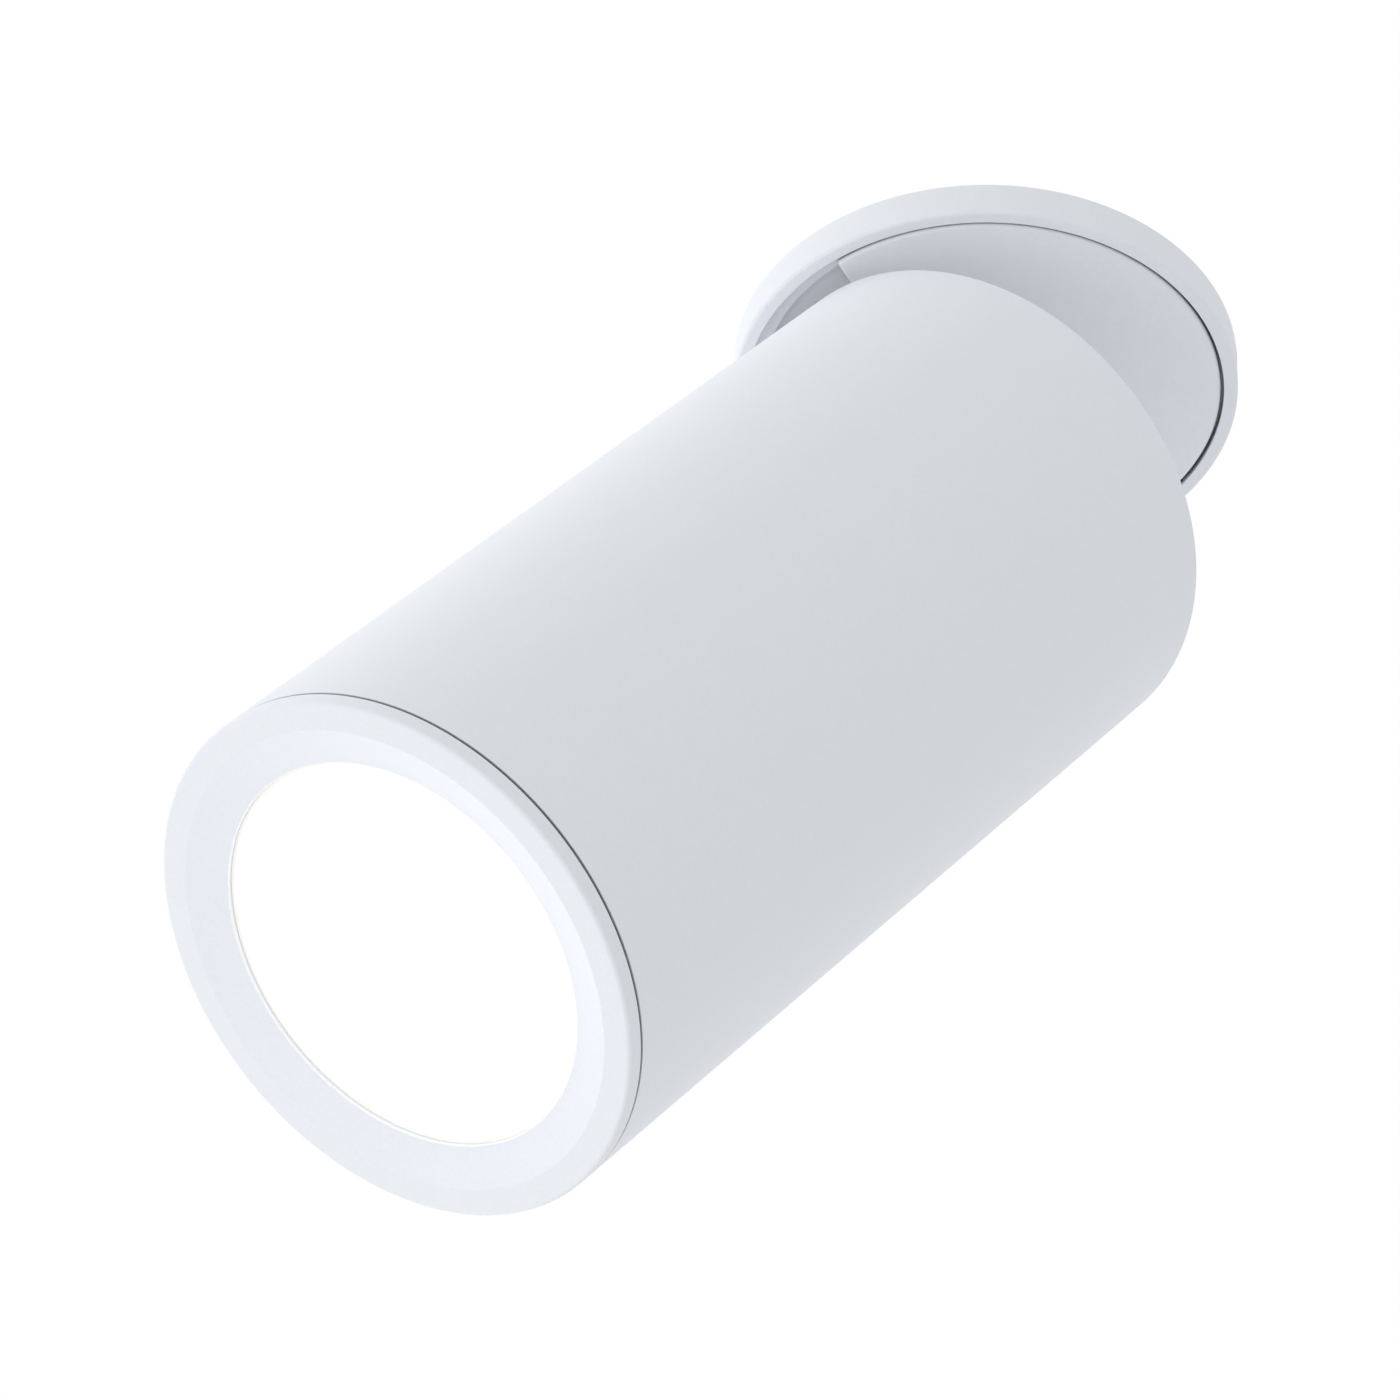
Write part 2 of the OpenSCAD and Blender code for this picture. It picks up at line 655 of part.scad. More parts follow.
module hinge_pin() {
    color("silver") in_head() translate([-pivot_x, 0, -pivot_depth]) rotate([90, 0, 0]) difference() {
        union() {
            translate([0, 0, -ear_out]) cylinder(r = pin_d / 2, h = ear_out * 2);
            translate([0, 0, ear_out + face_play]) cylinder(r = knuckle_r, h = pan_h);
            translate([0, 0, ear_out - eps]) cylinder(r = pin_d / 2, h = 0.2);
            translate([0, 0, -ear_out - nut_h - 0.6]) cylinder(r = screw_r, h = nut_h + 0.6 + eps, $fn = 32);
        }
        translate([0, 0, ear_out + 0.8]) cylinder(r = 1.25, h = 2, $fn = 6);
    }
}

module hinge_nut() {
    color("silver") in_head() translate([-pivot_x, ear_out + face_play, -pivot_depth]) rotate([-90, 30, 0])
        difference() {
            cylinder(r = nut_flat / sqrt(3), h = nut_h, $fn = 6);
            translate([0, 0, -1]) cylinder(r = screw_r + run_fit, h = nut_h + 2, $fn = 32);
        }
}

module hinge_washers() {
    color("ivory") in_head() for (side = [-1, 1])
        translate([-pivot_x, side * (arm_w / 2 + face_play + washer_t / 2), -pivot_depth])
            rotate([90, 0, 0]) difference() {
                cylinder(r = knuckle_r, h = washer_t, center = true);
                cylinder(r = pin_d / 2 + run_fit, h = 2, center = true);
            }
}

module cable_grommet() {
    r = cable_hole_d / 2;
    bore = r - 2;
    lip = 1.6;
    color("dimgray") in_head() turned([
        [bore, -cap_inset + 1], [r + lip - 0.6, -cap_inset + 1], [r + lip, -cap_inset + 0.4],
        [r + lip, -cap_inset], [r, -cap_inset], [r, -cap_low], [r + lip, -cap_low],
        [r + lip, -cap_low - 0.6], [r + lip - 0.6, -cap_low - 1.2], [bore, -cap_low - 1.2]]);
}

terminal_x = [10, 22];
terminal_half = 14;
terminal_h = 11;
terminal_pitch = 9;
terminal_base_t = 2.5;
terminal_hole_r = terminal_screw_d / 2 + seat_fit;
terminal_head_r = terminal_screw_d * 0.75;

// The two fixing screws of the terminal block, on the cap's lower side
module at_terminal_screws() {
    for (y = [-1, 1]) translate([(terminal_x[0] + terminal_x[1]) / 2, y * terminal_pitch / 2, -cap_low]) children();
}

module terminal_block() {
    mid = (terminal_x[0] + terminal_x[1]) / 2;
    color("ivory") in_head() difference() {
        union() {
            block([terminal_x[0], -terminal_half, -cap_low - terminal_base_t], [terminal_x[1], terminal_half, -cap_low]);
            for (i = [-1:1]) translate([mid, i * terminal_pitch, -cap_low - terminal_h / 2 - 1])
                cube([terminal_x[1] - terminal_x[0], terminal_pitch - 1.2, terminal_h - 2], center = true);
        }
        for (i = [-1:1]) translate([mid, i * terminal_pitch, -cap_low]) {
            translate([0, 0, -terminal_h / 2 - 2]) rotate([0, 90, 0]) cylinder(r = 1.8, h = 20, center = true, $fn = 32);
            translate([0, 0, -terminal_h - 1]) cylinder(r = 1.9, h = 5, $fn = 32);
        }
        at_terminal_screws() {
            translate([0, 0, -terminal_h]) cylinder(r = terminal_hole_r, h = terminal_h + 1, $fn = 32);
            // A well for the screw's head
            translate([0, 0, -terminal_h - 1]) cylinder(r = terminal_head_r + 0.3, h = terminal_h + 1 - terminal_base_t);
        }
    }
}

module terminal_screws() {
    color("silver") in_head() at_terminal_screws() translate([0, 0, -terminal_base_t]) mirror([0, 0, 1])
        pan_screw(cap_t - 0.5 + terminal_base_t, terminal_screw_d / 2, terminal_head_r, pan_h * 0.7);
}

module earth_screw() {
    color("gold") in_head() translate([0, -earth_y, -cap_low]) mirror([0, 0, 1])
        pan_screw(cap_t - 0.5, earth_screw_d / 2, earth_screw_d * 0.95, pan_h * 1.5);
}

case_hole_r = case_screw_d / 2 + run_fit;

// The four screws that hold the driver case to its bracket
module at_case_screws() {
    for (y = [-1, 1], z = [case_low - 6, case_high + 6]) translate([tray_x - tray_t, y * 14, -z]) children();
}

module driver_bracket() {
    half = tray_w / 2;
    foot_half = half / 2;
    color("silver") in_head() difference() {
        union() {
            block([tray_x - tray_t, -half, -fin_back], [tray_x, half, -case_high + 4]);
            block([tray_x - tray_foot - tray_t, -foot_half, -fin_back],
                  [tray_x - tray_t + eps, foot_half, tray_t - fin_back]);
        }
        for (y = [-1, 1]) {
            translate([tray_foot_x(), y * 5, -fin_back - 1]) cylinder(r = screw_r + seat_fit, h = tray_t + 2, $fn = 32);
            for (z = [0.3, 0.7]) translate([tray_x - 3, y * 7, -case_low + case_len * z])
                rotate([0, 90, 0]) cylinder(r = 3, h = 6, $fn = 32);
        }
        at_case_screws() rotate([0, 90, 0]) cylinder(r = case_hole_r, h = 8, center = true, $fn = 32);
    }
}

function tray_foot_x() = tray_x - tray_t - tray_foot * 0.58;

module bracket_feet_screws() {
    color("silver") in_head() for (y = [-1, 1]) translate([tray_foot_x(), y * 5, tray_t - fin_back])
        pan_screw(tray_t + 6, screw_r, screw_r * 1.6, pan_h);
}

module driver_case() {
    x1 = tray_x - tray_t;
    x0 = x1 - case_depth + case_wall;
    half = case_w / 2;
    color("white") in_head() difference() {
        block([x0, -half, -case_low], [x1, half, -case_high]);
        block([x0 - 1, case_wall - half, case_wall - case_low], [x1 - case_wall, half - case_wall, -case_high - case_wall]);
        at_case_screws() rotate([0, 90, 0]) cylinder(r = case_hole_r, h = 12, center = true, $fn = 32);
        for (y = [-1, 1]) translate([(x0 + x1) / 2, y * 8, -case_high - 4]) cylinder(r = 2.2, h = 8, $fn = 32);
    }
}

module driver_lid() {
    x0 = tray_x - tray_t - case_depth;
    half = case_w / 2;
    lip = 1.2;
    fit = case_wall + seat_fit;
    color("white") in_head() union() {
        block([x0, -half, -case_low], [x0 + case_wall, half, -case_high]);
        difference() {
            block([x0 + case_wall - eps, fit - half, fit - case_low],
                  [x0 + case_wall + lip, half - fit, -case_high - fit]);
            block([x0, fit + 1 - half, fit + 1 - case_low],
                  [x0 + case_wall + lip + 1, half - fit - 1, -case_high - fit - 1]);
        }
    }
}

pcb_t = 1.6;
pcb_x = tray_x - tray_t - case_wall - 3;

module driver_board() {
    half = case_w / 2 - case_wall - 1;
    edge = case_wall + 1;
    color("darkgreen") in_head() difference() {
        union() {
            block([pcb_x - pcb_t, -half, edge - case_low], [pcb_x, half, -case_high - edge]);
            for (y = [-1, 1], z = [case_low - 12, case_high + 12])
                translate([pcb_x - eps, y * 14, -z]) rotate([0, 90, 0]) cylinder(r = 2.2, h = 3 + eps, $fn = 32);
        }
        for (y = [-1, 1], z = [case_low - 12, case_high + 12])
            translate([pcb_x - 5, y * 14, -z]) rotate([0, 90, 0]) cylinder(r = 0.8, h = 7, $fn = 32);
    }
}

module transformer() {
    z = case_low - case_len * 0.42;
    half = coil_w / 2;
    leg_half = yoke_t * 0.9;
    leg_t = coil_w / 6;
    color("gold") in_head() translate([pcb_x - pcb_t, 0, -z]) {
        block([-coil_h, -half, -half], [yoke_t - coil_h, half, half]);
        block([-yoke_t, -half, -half], [0, half, half]);
        for (y = [-half, half - leg_t])
            block([eps - coil_h, y, -leg_half], [-eps, y + leg_t, leg_half]);
        translate([yoke_t - coil_h - eps, 0, 0]) rotate([0, 90, 0])
            cylinder(r = half - leg_t - 0.2, h = coil_h - 2 * yoke_t + 2 * eps, $fn = 48);
    }
}

module capacitors() {
    x = pcb_x - pcb_t;
    r = cap_d / 2;
    // The can's foot is open by a step, and a groove runs round below its top
    can = [[0, 0.4], [r - 1, 0.4], [r - 1, 0], [r, 0], [r, cap_h - 2.4], [r - 0.3, cap_h - 2],
           [r, cap_h - 1.6], [r, cap_h], [0, cap_h]];
    color("dimgray") in_head() {
        for (y = [-1, 1]) translate([x, y * (r + 6), -case_high - r - 7]) rotate([0, -90, 0]) turned(can);
        translate([x, 0, -case_low + small_cap_d / 2 + 6]) rotate([0, -90, 0])
            cylinder(r = small_cap_d / 2, h = small_cap_h, $fn = 32);
    }
}

module case_screws() {
    color("silver") in_head() at_case_screws() translate([tray_t, 0, 0]) rotate([0, 90, 0])
        pan_screw(tray_t + case_wall, case_screw_d / 2, case_screw_head_d / 2, pan_h);
}

module heat_sink() {
    fin_r = bore_r - 0.8;
    color("silver") in_head() difference() {
        union() {
            translate([0, 0, -sink_face]) cylinder(r = front_bore_r - seat_fit, h = sink_base_t);
            translate([0, 0, -sink_back - eps]) cylinder(r = core_d / 2, h = fin_h + eps);
            // A gap between two fins faces the lead hole
            for (i = [0:fin_count - 1]) rotate([0, 0, (i + 0.5) * 360 / fin_count + 180])
                block([core_d / 2 - 1, -fin_t / 2, -sink_back - eps], [fin_r, fin_t / 2, -fin_back]);
        }
        for (y = [-1, 1]) translate([tray_foot_x(), y * 5, -fin_back - 8]) cylinder(r = screw_r + run_fit, h = 9, $fn = 32);
        at_board_screws() cylinder(r = board_screw_d / 2 + run_fit, h = sink_base_t + pad_t + board_t - 1, $fn = 32);
        lead_hole(sink_face, sink_base_t);
    }
}

module at_board_screws() {
    for (a = [30, 150, 270]) rotate([0, 0, a]) translate([board_r - board_screw_inset, 0, -board_face]) children();
}

// The hole for the leads through a layer that lies above the depth given by low
module lead_hole(low, t) {
    translate([lead_inset - board_r, 0, -low - 1]) cylinder(r = lead_d / 2, h = t + 2, $fn = 32);
}

module thermal_pad() {
    color("gray") in_head() difference() {
        translate([0, 0, -board_back]) cylinder(r = board_r, h = pad_t);
        at_board_screws() cylinder(r = board_screw_d / 2 + 0.3, h = board_t + pad_t + 1, $fn = 32);
        lead_hole(board_back, pad_t);
    }
}

module light_board() {
    color("white") in_head() difference() {
        translate([0, 0, -board_face]) cylinder(r = board_r, h = board_t);
        at_board_screws() translate([0, 0, -1]) cylinder(r = board_screw_d / 2 + seat_fit, h = board_t + 2, $fn = 32);
        lead_hole(board_face, board_t);
    }
}

module light_chips() {
    outer = board_r - board_screw_inset - chip_ring_inset;
    color("khaki") in_head() {
        chip(0, 0);
        for (i = [0:chips_inner - 1]) chip(outer / 2, i * 360 / chips_inner);
        for (i = [0:chips_outer - 1]) chip(outer, i * 360 / chips_outer);
    }
}

// One light chip at a radius and an angle on the board
module chip(r, a) {
    rotate([0, 0, a + 15]) translate([r, 0, -board_face - chip_t / 2]) cube([chip_w, chip_w, chip_t], center = true);
}

module board_screws() {
    color("silver") in_head() at_board_screws() mirror([0, 0, 1])
        pan_screw(board_t + pad_t + 3, board_screw_d / 2, board_screw_d * 0.88, pan_h);
}

module reflector() {
    low_r = board_r + 0.4;
    color("white") in_head() turned([
        [low_r, -board_face - 0.4], [opening_r + 0.8, -gasket_back],
        [unit_r, -gasket_back], [unit_r, -gasket_back + reflector_wall],
        [opening_r + 0.8 + reflector_wall * 1.1, -gasket_back + reflector_wall],
        [low_r + reflector_wall * 1.1, -sink_face - reflector_wall],
        [front_bore_r - 0.4, -sink_face - reflector_wall], [front_bore_r - 0.4, -sink_face],
        [low_r, -sink_face]]);
}

module diffuser_gasket() {
    color("gray") in_head() washer(unit_r, opening_r + 1.2, gasket_back, gasket_t);
}

module diffuser() {
    color("white") in_head() translate([0, 0, -diffuser_front]) cylinder(r = unit_r, h = diffuser_t);
}

module front_bezel() {
    flat_in = head_r - flat_w;
    front = head_len;
    // The cove falls away steeply at the flat rim and runs out level at the opening
    cove = [for (i = [0:10]) let (k = i / 10)
        [opening_r + cove_w * k, -front + cove_depth * (1 - pow(k, 2))]];
    color("white") in_head() turned(concat(
        [[opening_r, -diffuser_front]],
        cove,
        arc(head_r - bezel_round, bezel_round - front, bezel_round, -90, 0, 6),
        arc(head_r - 0.25, -bezel_back - 0.25, 0.25, 0, 90, 3),
        [[spigot_r, -bezel_back], [spigot_r, spigot_len - bezel_back],
         [spigot_in_r, spigot_len - bezel_back], [spigot_in_r, -diffuser_front]]));
}

module bezel_seal() {
    color("dimgray") in_head() washer(head_r - 0.6, spigot_r + 0.15, tube_len, seam_gap);
}

canopy();
ceiling_plate();
canopy_screws();
stop_pin();
friction_washer();
cover_disc();
swivel_bush();
spring_washer();
retaining_ring();
hinge_arm();
arm_screws();
head_tube();
back_cap();
cap_screws();
hinge_bracket();
bracket_screws();
hinge_pin();
hinge_nut();
hinge_washers();
cable_grommet();
terminal_block();
terminal_screws();
earth_screw();
driver_bracket();
bracket_feet_screws();
driver_case();
driver_lid();
driver_board();
transformer();
capacitors();
case_screws();
heat_sink();
thermal_pad();
light_board();
light_chips();
board_screws();
reflector();
diffuser();
diffuser_gasket();
front_bezel();
bezel_seal();
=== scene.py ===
import json
import math
import bmesh
import bpy
import numpy as np
from mathutils import Matrix, Vector


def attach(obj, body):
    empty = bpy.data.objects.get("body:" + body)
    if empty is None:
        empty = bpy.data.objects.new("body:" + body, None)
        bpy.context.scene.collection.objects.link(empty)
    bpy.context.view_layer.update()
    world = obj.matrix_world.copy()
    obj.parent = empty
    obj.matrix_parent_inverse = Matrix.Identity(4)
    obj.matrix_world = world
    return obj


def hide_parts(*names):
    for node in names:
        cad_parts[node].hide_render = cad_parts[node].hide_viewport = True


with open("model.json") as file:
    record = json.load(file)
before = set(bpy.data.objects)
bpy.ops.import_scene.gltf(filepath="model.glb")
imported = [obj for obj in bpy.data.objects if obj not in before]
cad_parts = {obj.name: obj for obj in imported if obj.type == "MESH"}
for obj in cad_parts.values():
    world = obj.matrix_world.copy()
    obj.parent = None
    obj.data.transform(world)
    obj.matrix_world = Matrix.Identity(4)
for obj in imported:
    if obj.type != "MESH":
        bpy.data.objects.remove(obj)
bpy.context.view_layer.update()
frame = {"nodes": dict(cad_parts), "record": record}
nodes = frame["nodes"]
mm = 0.001

# The lamp's main places in millimetres; the head leans by lean degrees towards -X on its hinge pin
place = {"lean": 35.8, "canopyH": 6.3, "pinX": 32.5, "pinDrop": 12.1, "pinDepth": 7.1}


def headMatrix():
    # Head frame: origin at the centre of the rear edge, lamp end down -Z, turned about the hinge pin
    pin = Matrix.Translation((-place["pinX"] * mm, 0, -(place["canopyH"] + place["pinDrop"]) * mm))
    turn = Matrix.Rotation(math.radians(place["lean"]), 4, "Y")
    return pin @ turn @ Matrix.Translation((place["pinX"] * mm, 0, place["pinDepth"] * mm))


inHead = headMatrix()
upright = Matrix.Identity(4)


def newObject(name, data):
    # An object in the scene that shows the mesh, lamp or camera
    made = bpy.data.objects.new(name, data)
    bpy.context.scene.collection.objects.link(made)
    return made


def newMaterial(name, **values):
    # A material with its node tree and its shader, whose named inputs take the values
    material = bpy.data.materials.new(name)
    material.use_nodes = True
    shader = material.node_tree.nodes["Principled BSDF"]
    for key, value in values.items():
        shader.inputs[key.replace("_", " ")].default_value = value
    return material, material.node_tree, shader


# ---- camera: the photograph's own view, from below and beside the lamp

cameraPlan = {
    "at": (-0.309611, -0.635074, -0.702368),
    "right": (0.912967, -0.406937, 0.029879),
    "up": (-0.291513, -0.599268, 0.745586),
    "lens": 161.17, "sensor": 36.0, "clip": (0.05, 60),
}


def makeCamera(plan):
    # The camera's axes are the given right and up and, towards the viewer, their cross product
    data = bpy.data.cameras.new("photoCamera")
    data.lens, data.sensor_width, data.sensor_height = plan["lens"], plan["sensor"], plan["sensor"]
    data.sensor_fit = "AUTO"
    data.clip_start, data.clip_end = plan["clip"]
    camera = newObject("photoCamera", data)
    right = Vector(plan["right"]).normalized()
    back = right.cross(Vector(plan["up"])).normalized()
    up = back.cross(right)
    turn = Matrix((right, up, back)).transposed().to_4x4()
    camera.matrix_world = Matrix.Translation(plan["at"]) @ turn
    bpy.context.scene.camera = camera
    return camera


camera = makeCamera(cameraPlan)
bpy.context.scene.view_settings.view_transform = "Standard"
print("camera made")

# ---- shader nodes: what the studio and the finishes share


def addNode(tree, kind, sockets=None, **settings):
    # A node with its own settings; each input takes a fixed value, or a link where it is given a socket
    node = tree.nodes.new(kind)
    for key, value in settings.items():
        setattr(node, key, value)
    for key, value in (sockets or {}).items():
        if isinstance(value, bpy.types.NodeSocket):
            tree.links.new(value, node.inputs[key])
        else:
            node.inputs[key].default_value = value
    return node


def addMath(tree, operation, *values, **settings):
    # One step of arithmetic on numbers or sockets
    return addNode(tree, "ShaderNodeMath", dict(enumerate(values)), operation=operation, **settings).outputs[0]


def remap(tree, value, fromMin, fromMax, toMin=0.0, toMax=1.0, **settings):
    # The value carried from one range to another
    sockets = {"Value": value, "From Min": fromMin, "From Max": fromMax, "To Min": toMin, "To Max": toMax}
    return addNode(tree, "ShaderNodeMapRange", sockets, **settings).outputs["Result"]


def greyTone(tree, value):
    # The grey that has the value in all three channels
    return addNode(tree, "ShaderNodeCombineColor", dict.fromkeys(("Red", "Green", "Blue"), value)).outputs[0]


def mixColours(tree, share, first, second, blend="MIX"):
    # The colour at the share's place between two others, or their product
    sockets = {0: share, 6: first, 7: second}
    return addNode(tree, "ShaderNodeMix", sockets, data_type="RGBA", blend_type=blend).outputs[2]


def axisDistance(tree, spot):
    # Distance from the Z axis: the length of the point's X and Y
    apart = addNode(tree, "ShaderNodeSeparateXYZ", {"Vector": spot})
    flat = addNode(tree, "ShaderNodeCombineXYZ", {axis: apart.outputs[axis] for axis in "XY"})
    return addNode(tree, "ShaderNodeVectorMath", {0: flat.outputs[0]}, operation="LENGTH").outputs["Value"]


# ---- world, lamps and floor

lightPlan = {
    "worldStrength": 0.74,
    "target": (-0.045, 0.0, -0.085),
    "distance": 1.3, "size": 0.8,
    # name: direction in the camera's right, up and back axes, and watts
    "lamps": {
        "lowBackBox": ((0.0, -0.75, -0.65), 1.47),
        "lowLeftBackBox": ((-0.55, -0.6, -0.55), 2.51),
        "leftBackBox": ((-0.7, 0.0, -0.7), 0.87),
        "topLeftBackBox": ((-0.5, 0.6, -0.6), 2.37),
        "lowLeftFrontBox": ((-0.5, -0.5, 0.7), 1.1),
        "leftFrontBox": ((-0.7, 0.0, 0.7), 1.93),
        "leftBox": ((-1.0, 0.0, 0.1), 1.96),
        "topBox": ((0.0, 1.0, 0.2), 0.55),
    },
    "floorZ": -1.1, "floorHalf": 12.0, "floorRough": 0.9, "floorShine": 0.1,
    "floorPatch": 3.0, "floorTone": (0.93, 0.95),
}


def makeWorld(plan):
    # Even light all round; the camera and mirror rays meet plain white instead
    world = bpy.data.worlds.new("studioAir")
    bpy.context.scene.world = world
    world.use_nodes = True
    tree = world.node_tree
    tree.nodes.clear()
    rays = addNode(tree, "ShaderNodeLightPath").outputs
    seen = addMath(tree, "MAXIMUM", rays["Is Camera Ray"], rays["Is Transmission Ray"])
    seen = addMath(tree, "MAXIMUM", seen, rays["Is Glossy Ray"])
    soft, plain = [addNode(tree, "ShaderNodeBackground", {"Color": (1, 1, 1, 1), "Strength": strength})
                   for strength in (plan["worldStrength"], 1.0)]
    mix = addNode(tree, "ShaderNodeMixShader", {"Fac": seen, 1: soft.outputs[0], 2: plain.outputs[0]})
    addNode(tree, "ShaderNodeOutputWorld", {"Surface": mix.outputs[0]})


def makeLamps(plan, camera):
    # Each softbox stands off the target along its direction and faces it
    axes = camera.matrix_world.to_3x3()
    target = Vector(plan["target"])
    for name, (direction, watts) in plan["lamps"].items():
        data = bpy.data.lights.new(name, "AREA")
        data.shape, data.size, data.energy = "SQUARE", plan["size"], watts
        lamp = newObject(name, data)
        towards = (axes @ Vector(direction)).normalized()
        lamp.location = target + towards * plan["distance"]
        lamp.rotation_euler = towards.to_track_quat("Z", "Y").to_euler()
        lamp.visible_camera = False


def makeFloor(plan):
    # A wide flat square, well below the lamp, whose pale tone drifts a little
    half, z = plan["floorHalf"], plan["floorZ"]
    mesh = bpy.data.meshes.new("studioFloor")
    corners = [(-half, -half, z), (half, -half, z), (half, half, z), (-half, half, z)]
    mesh.from_pydata(corners, [], [(0, 1, 2, 3)])
    material, tree, shader = newMaterial("paleFloor", Roughness=plan["floorRough"],
                                         Specular_IOR_Level=plan["floorShine"])
    patch = addNode(tree, "ShaderNodeTexNoise", {"Scale": plan["floorPatch"]}).outputs[0]
    tone = greyTone(tree, remap(tree, patch, 0.0, 1.0, *plan["floorTone"]))
    tree.links.new(tone, shader.inputs["Base Color"])
    mesh.materials.append(material)
    newObject("studioFloor", mesh)


makeWorld(lightPlan)
makeLamps(lightPlan, camera)
makeFloor(lightPlan)
print("studio made")

# ---- finishes: shared node groups first, then one material for each finish


def newGroup(name, inputs, outputs):
    # A node group; an input is given by its kind of socket, or by the number that it starts from
    group = bpy.data.node_groups.new(name, "ShaderNodeTree")
    for label, value in inputs.items():
        kind = value if isinstance(value, str) else "NodeSocketFloat"
        socket = group.interface.new_socket(label, in_out="INPUT", socket_type=kind)
        if kind == "NodeSocketFloat":
            socket.default_value = value
    for label, kind in outputs.items():
        group.interface.new_socket(label, in_out="OUTPUT", socket_type=kind)
    return group, group.nodes.new("NodeGroupInput").outputs


def addNoise(group, enter, scale, detail, rough):
    # Noise at the group's own place, with its scale from the named input
    sockets = {"Vector": enter["Place"], "Scale": enter[scale], "Detail": detail, "Roughness": rough}
    return addNode(group, "ShaderNodeTexNoise", sockets).outputs[0]


def grainGroup():
    # Two noises, a fine one and a coarse one: the fine gives the height, both together the tone
    group, enter = newGroup(
        "surfaceGrain",
        {"Place": "NodeSocketVector", "Fine Scale": 3000.0, "Coarse Scale": 90.0, "Coarse Share": 0.4},
        {"Tone": "NodeSocketFloat", "Height": "NodeSocketFloat"})
    fine = addNoise(group, enter, "Fine Scale", 3.0, 0.55)
    coarse = addNoise(group, enter, "Coarse Scale", 4.0, 0.6)
    both = addNode(group, "ShaderNodeMix", {0: enter["Coarse Share"], 2: fine, 3: coarse}, data_type="FLOAT")
    addNode(group, "NodeGroupOutput", {"Tone": both.outputs[0], "Height": fine})
    return group


def turnedGroup():
    # Rings round an axis: the sine of the distance from the axis, roughened by noise
    ringHeight = 0.12
    group, enter = newGroup(
        "turnedRings", {"Place": "NodeSocketVector", "Rings": 9000.0, "Grain Scale": 900.0},
        {"Tone": "NodeSocketFloat", "Height": "NodeSocketFloat"})
    turns = addMath(group, "MULTIPLY", axisDistance(group, enter["Place"]), enter["Rings"])
    noise = addNoise(group, enter, "Grain Scale", 4.0, 0.6)
    height = addMath(group, "MULTIPLY_ADD", addMath(group, "SINE", turns), ringHeight, noise)
    addNode(group, "NodeGroupOutput", {"Tone": noise, "Height": height})
    return group


def paintedShadeGroup():
    # Painted shade: a colour that turns darker where other surfaces stand within reach, as shade falls in gaps
    # and cracks
    closed = 0.1
    group, enter = newGroup(
        "paintedCreviceShade", {"Colour": "NodeSocketColor", "Reach": 0.0015, "Darkest": 0.3, "Open From": 0.6},
        {"Colour": "NodeSocketColor"})
    near = addNode(group, "ShaderNodeAmbientOcclusion", {"Distance": enter["Reach"]}, samples=6)
    share = remap(group, near.outputs["AO"], closed, enter["Open From"], enter["Darkest"])
    addNode(group, "NodeGroupOutput", {
        "Colour": mixColours(group, 1.0, enter["Colour"], greyTone(group, share), "MULTIPLY")})
    return group


def wearGroup():
    # Where the rounded normal parts from the face's own, there is an edge; noise breaks the wear up
    patchRange = (0.4, 0.62)
    group, enter = newGroup(
        "edgeWear", {"Place": "NodeSocketVector", "Width": 0.0003, "Gain": 6.0, "Patch Scale": 260.0},
        {"Mask": "NodeSocketFloat"})
    bend = addNode(group, "ShaderNodeBevel", {"Radius": enter["Width"]}, samples=4).outputs["Normal"]
    own = addNode(group, "ShaderNodeNewGeometry").outputs["Normal"]
    same = addNode(group, "ShaderNodeVectorMath", {0: bend, 1: own}, operation="DOT_PRODUCT").outputs["Value"]
    strong = addMath(group, "MULTIPLY", addMath(group, "SUBTRACT", 1.0, same), enter["Gain"], use_clamp=True)
    broken = remap(group, addNoise(group, enter, "Patch Scale", 3.0, 0.65), *patchRange)
    addNode(group, "NodeGroupOutput", {"Mask": addMath(group, "MULTIPLY", strong, broken)})
    return group


grain = grainGroup()
turned = turnedGroup()
wear = wearGroup()
# The painted shade for gaps and cracks
paintedShadeTree = paintedShadeGroup()

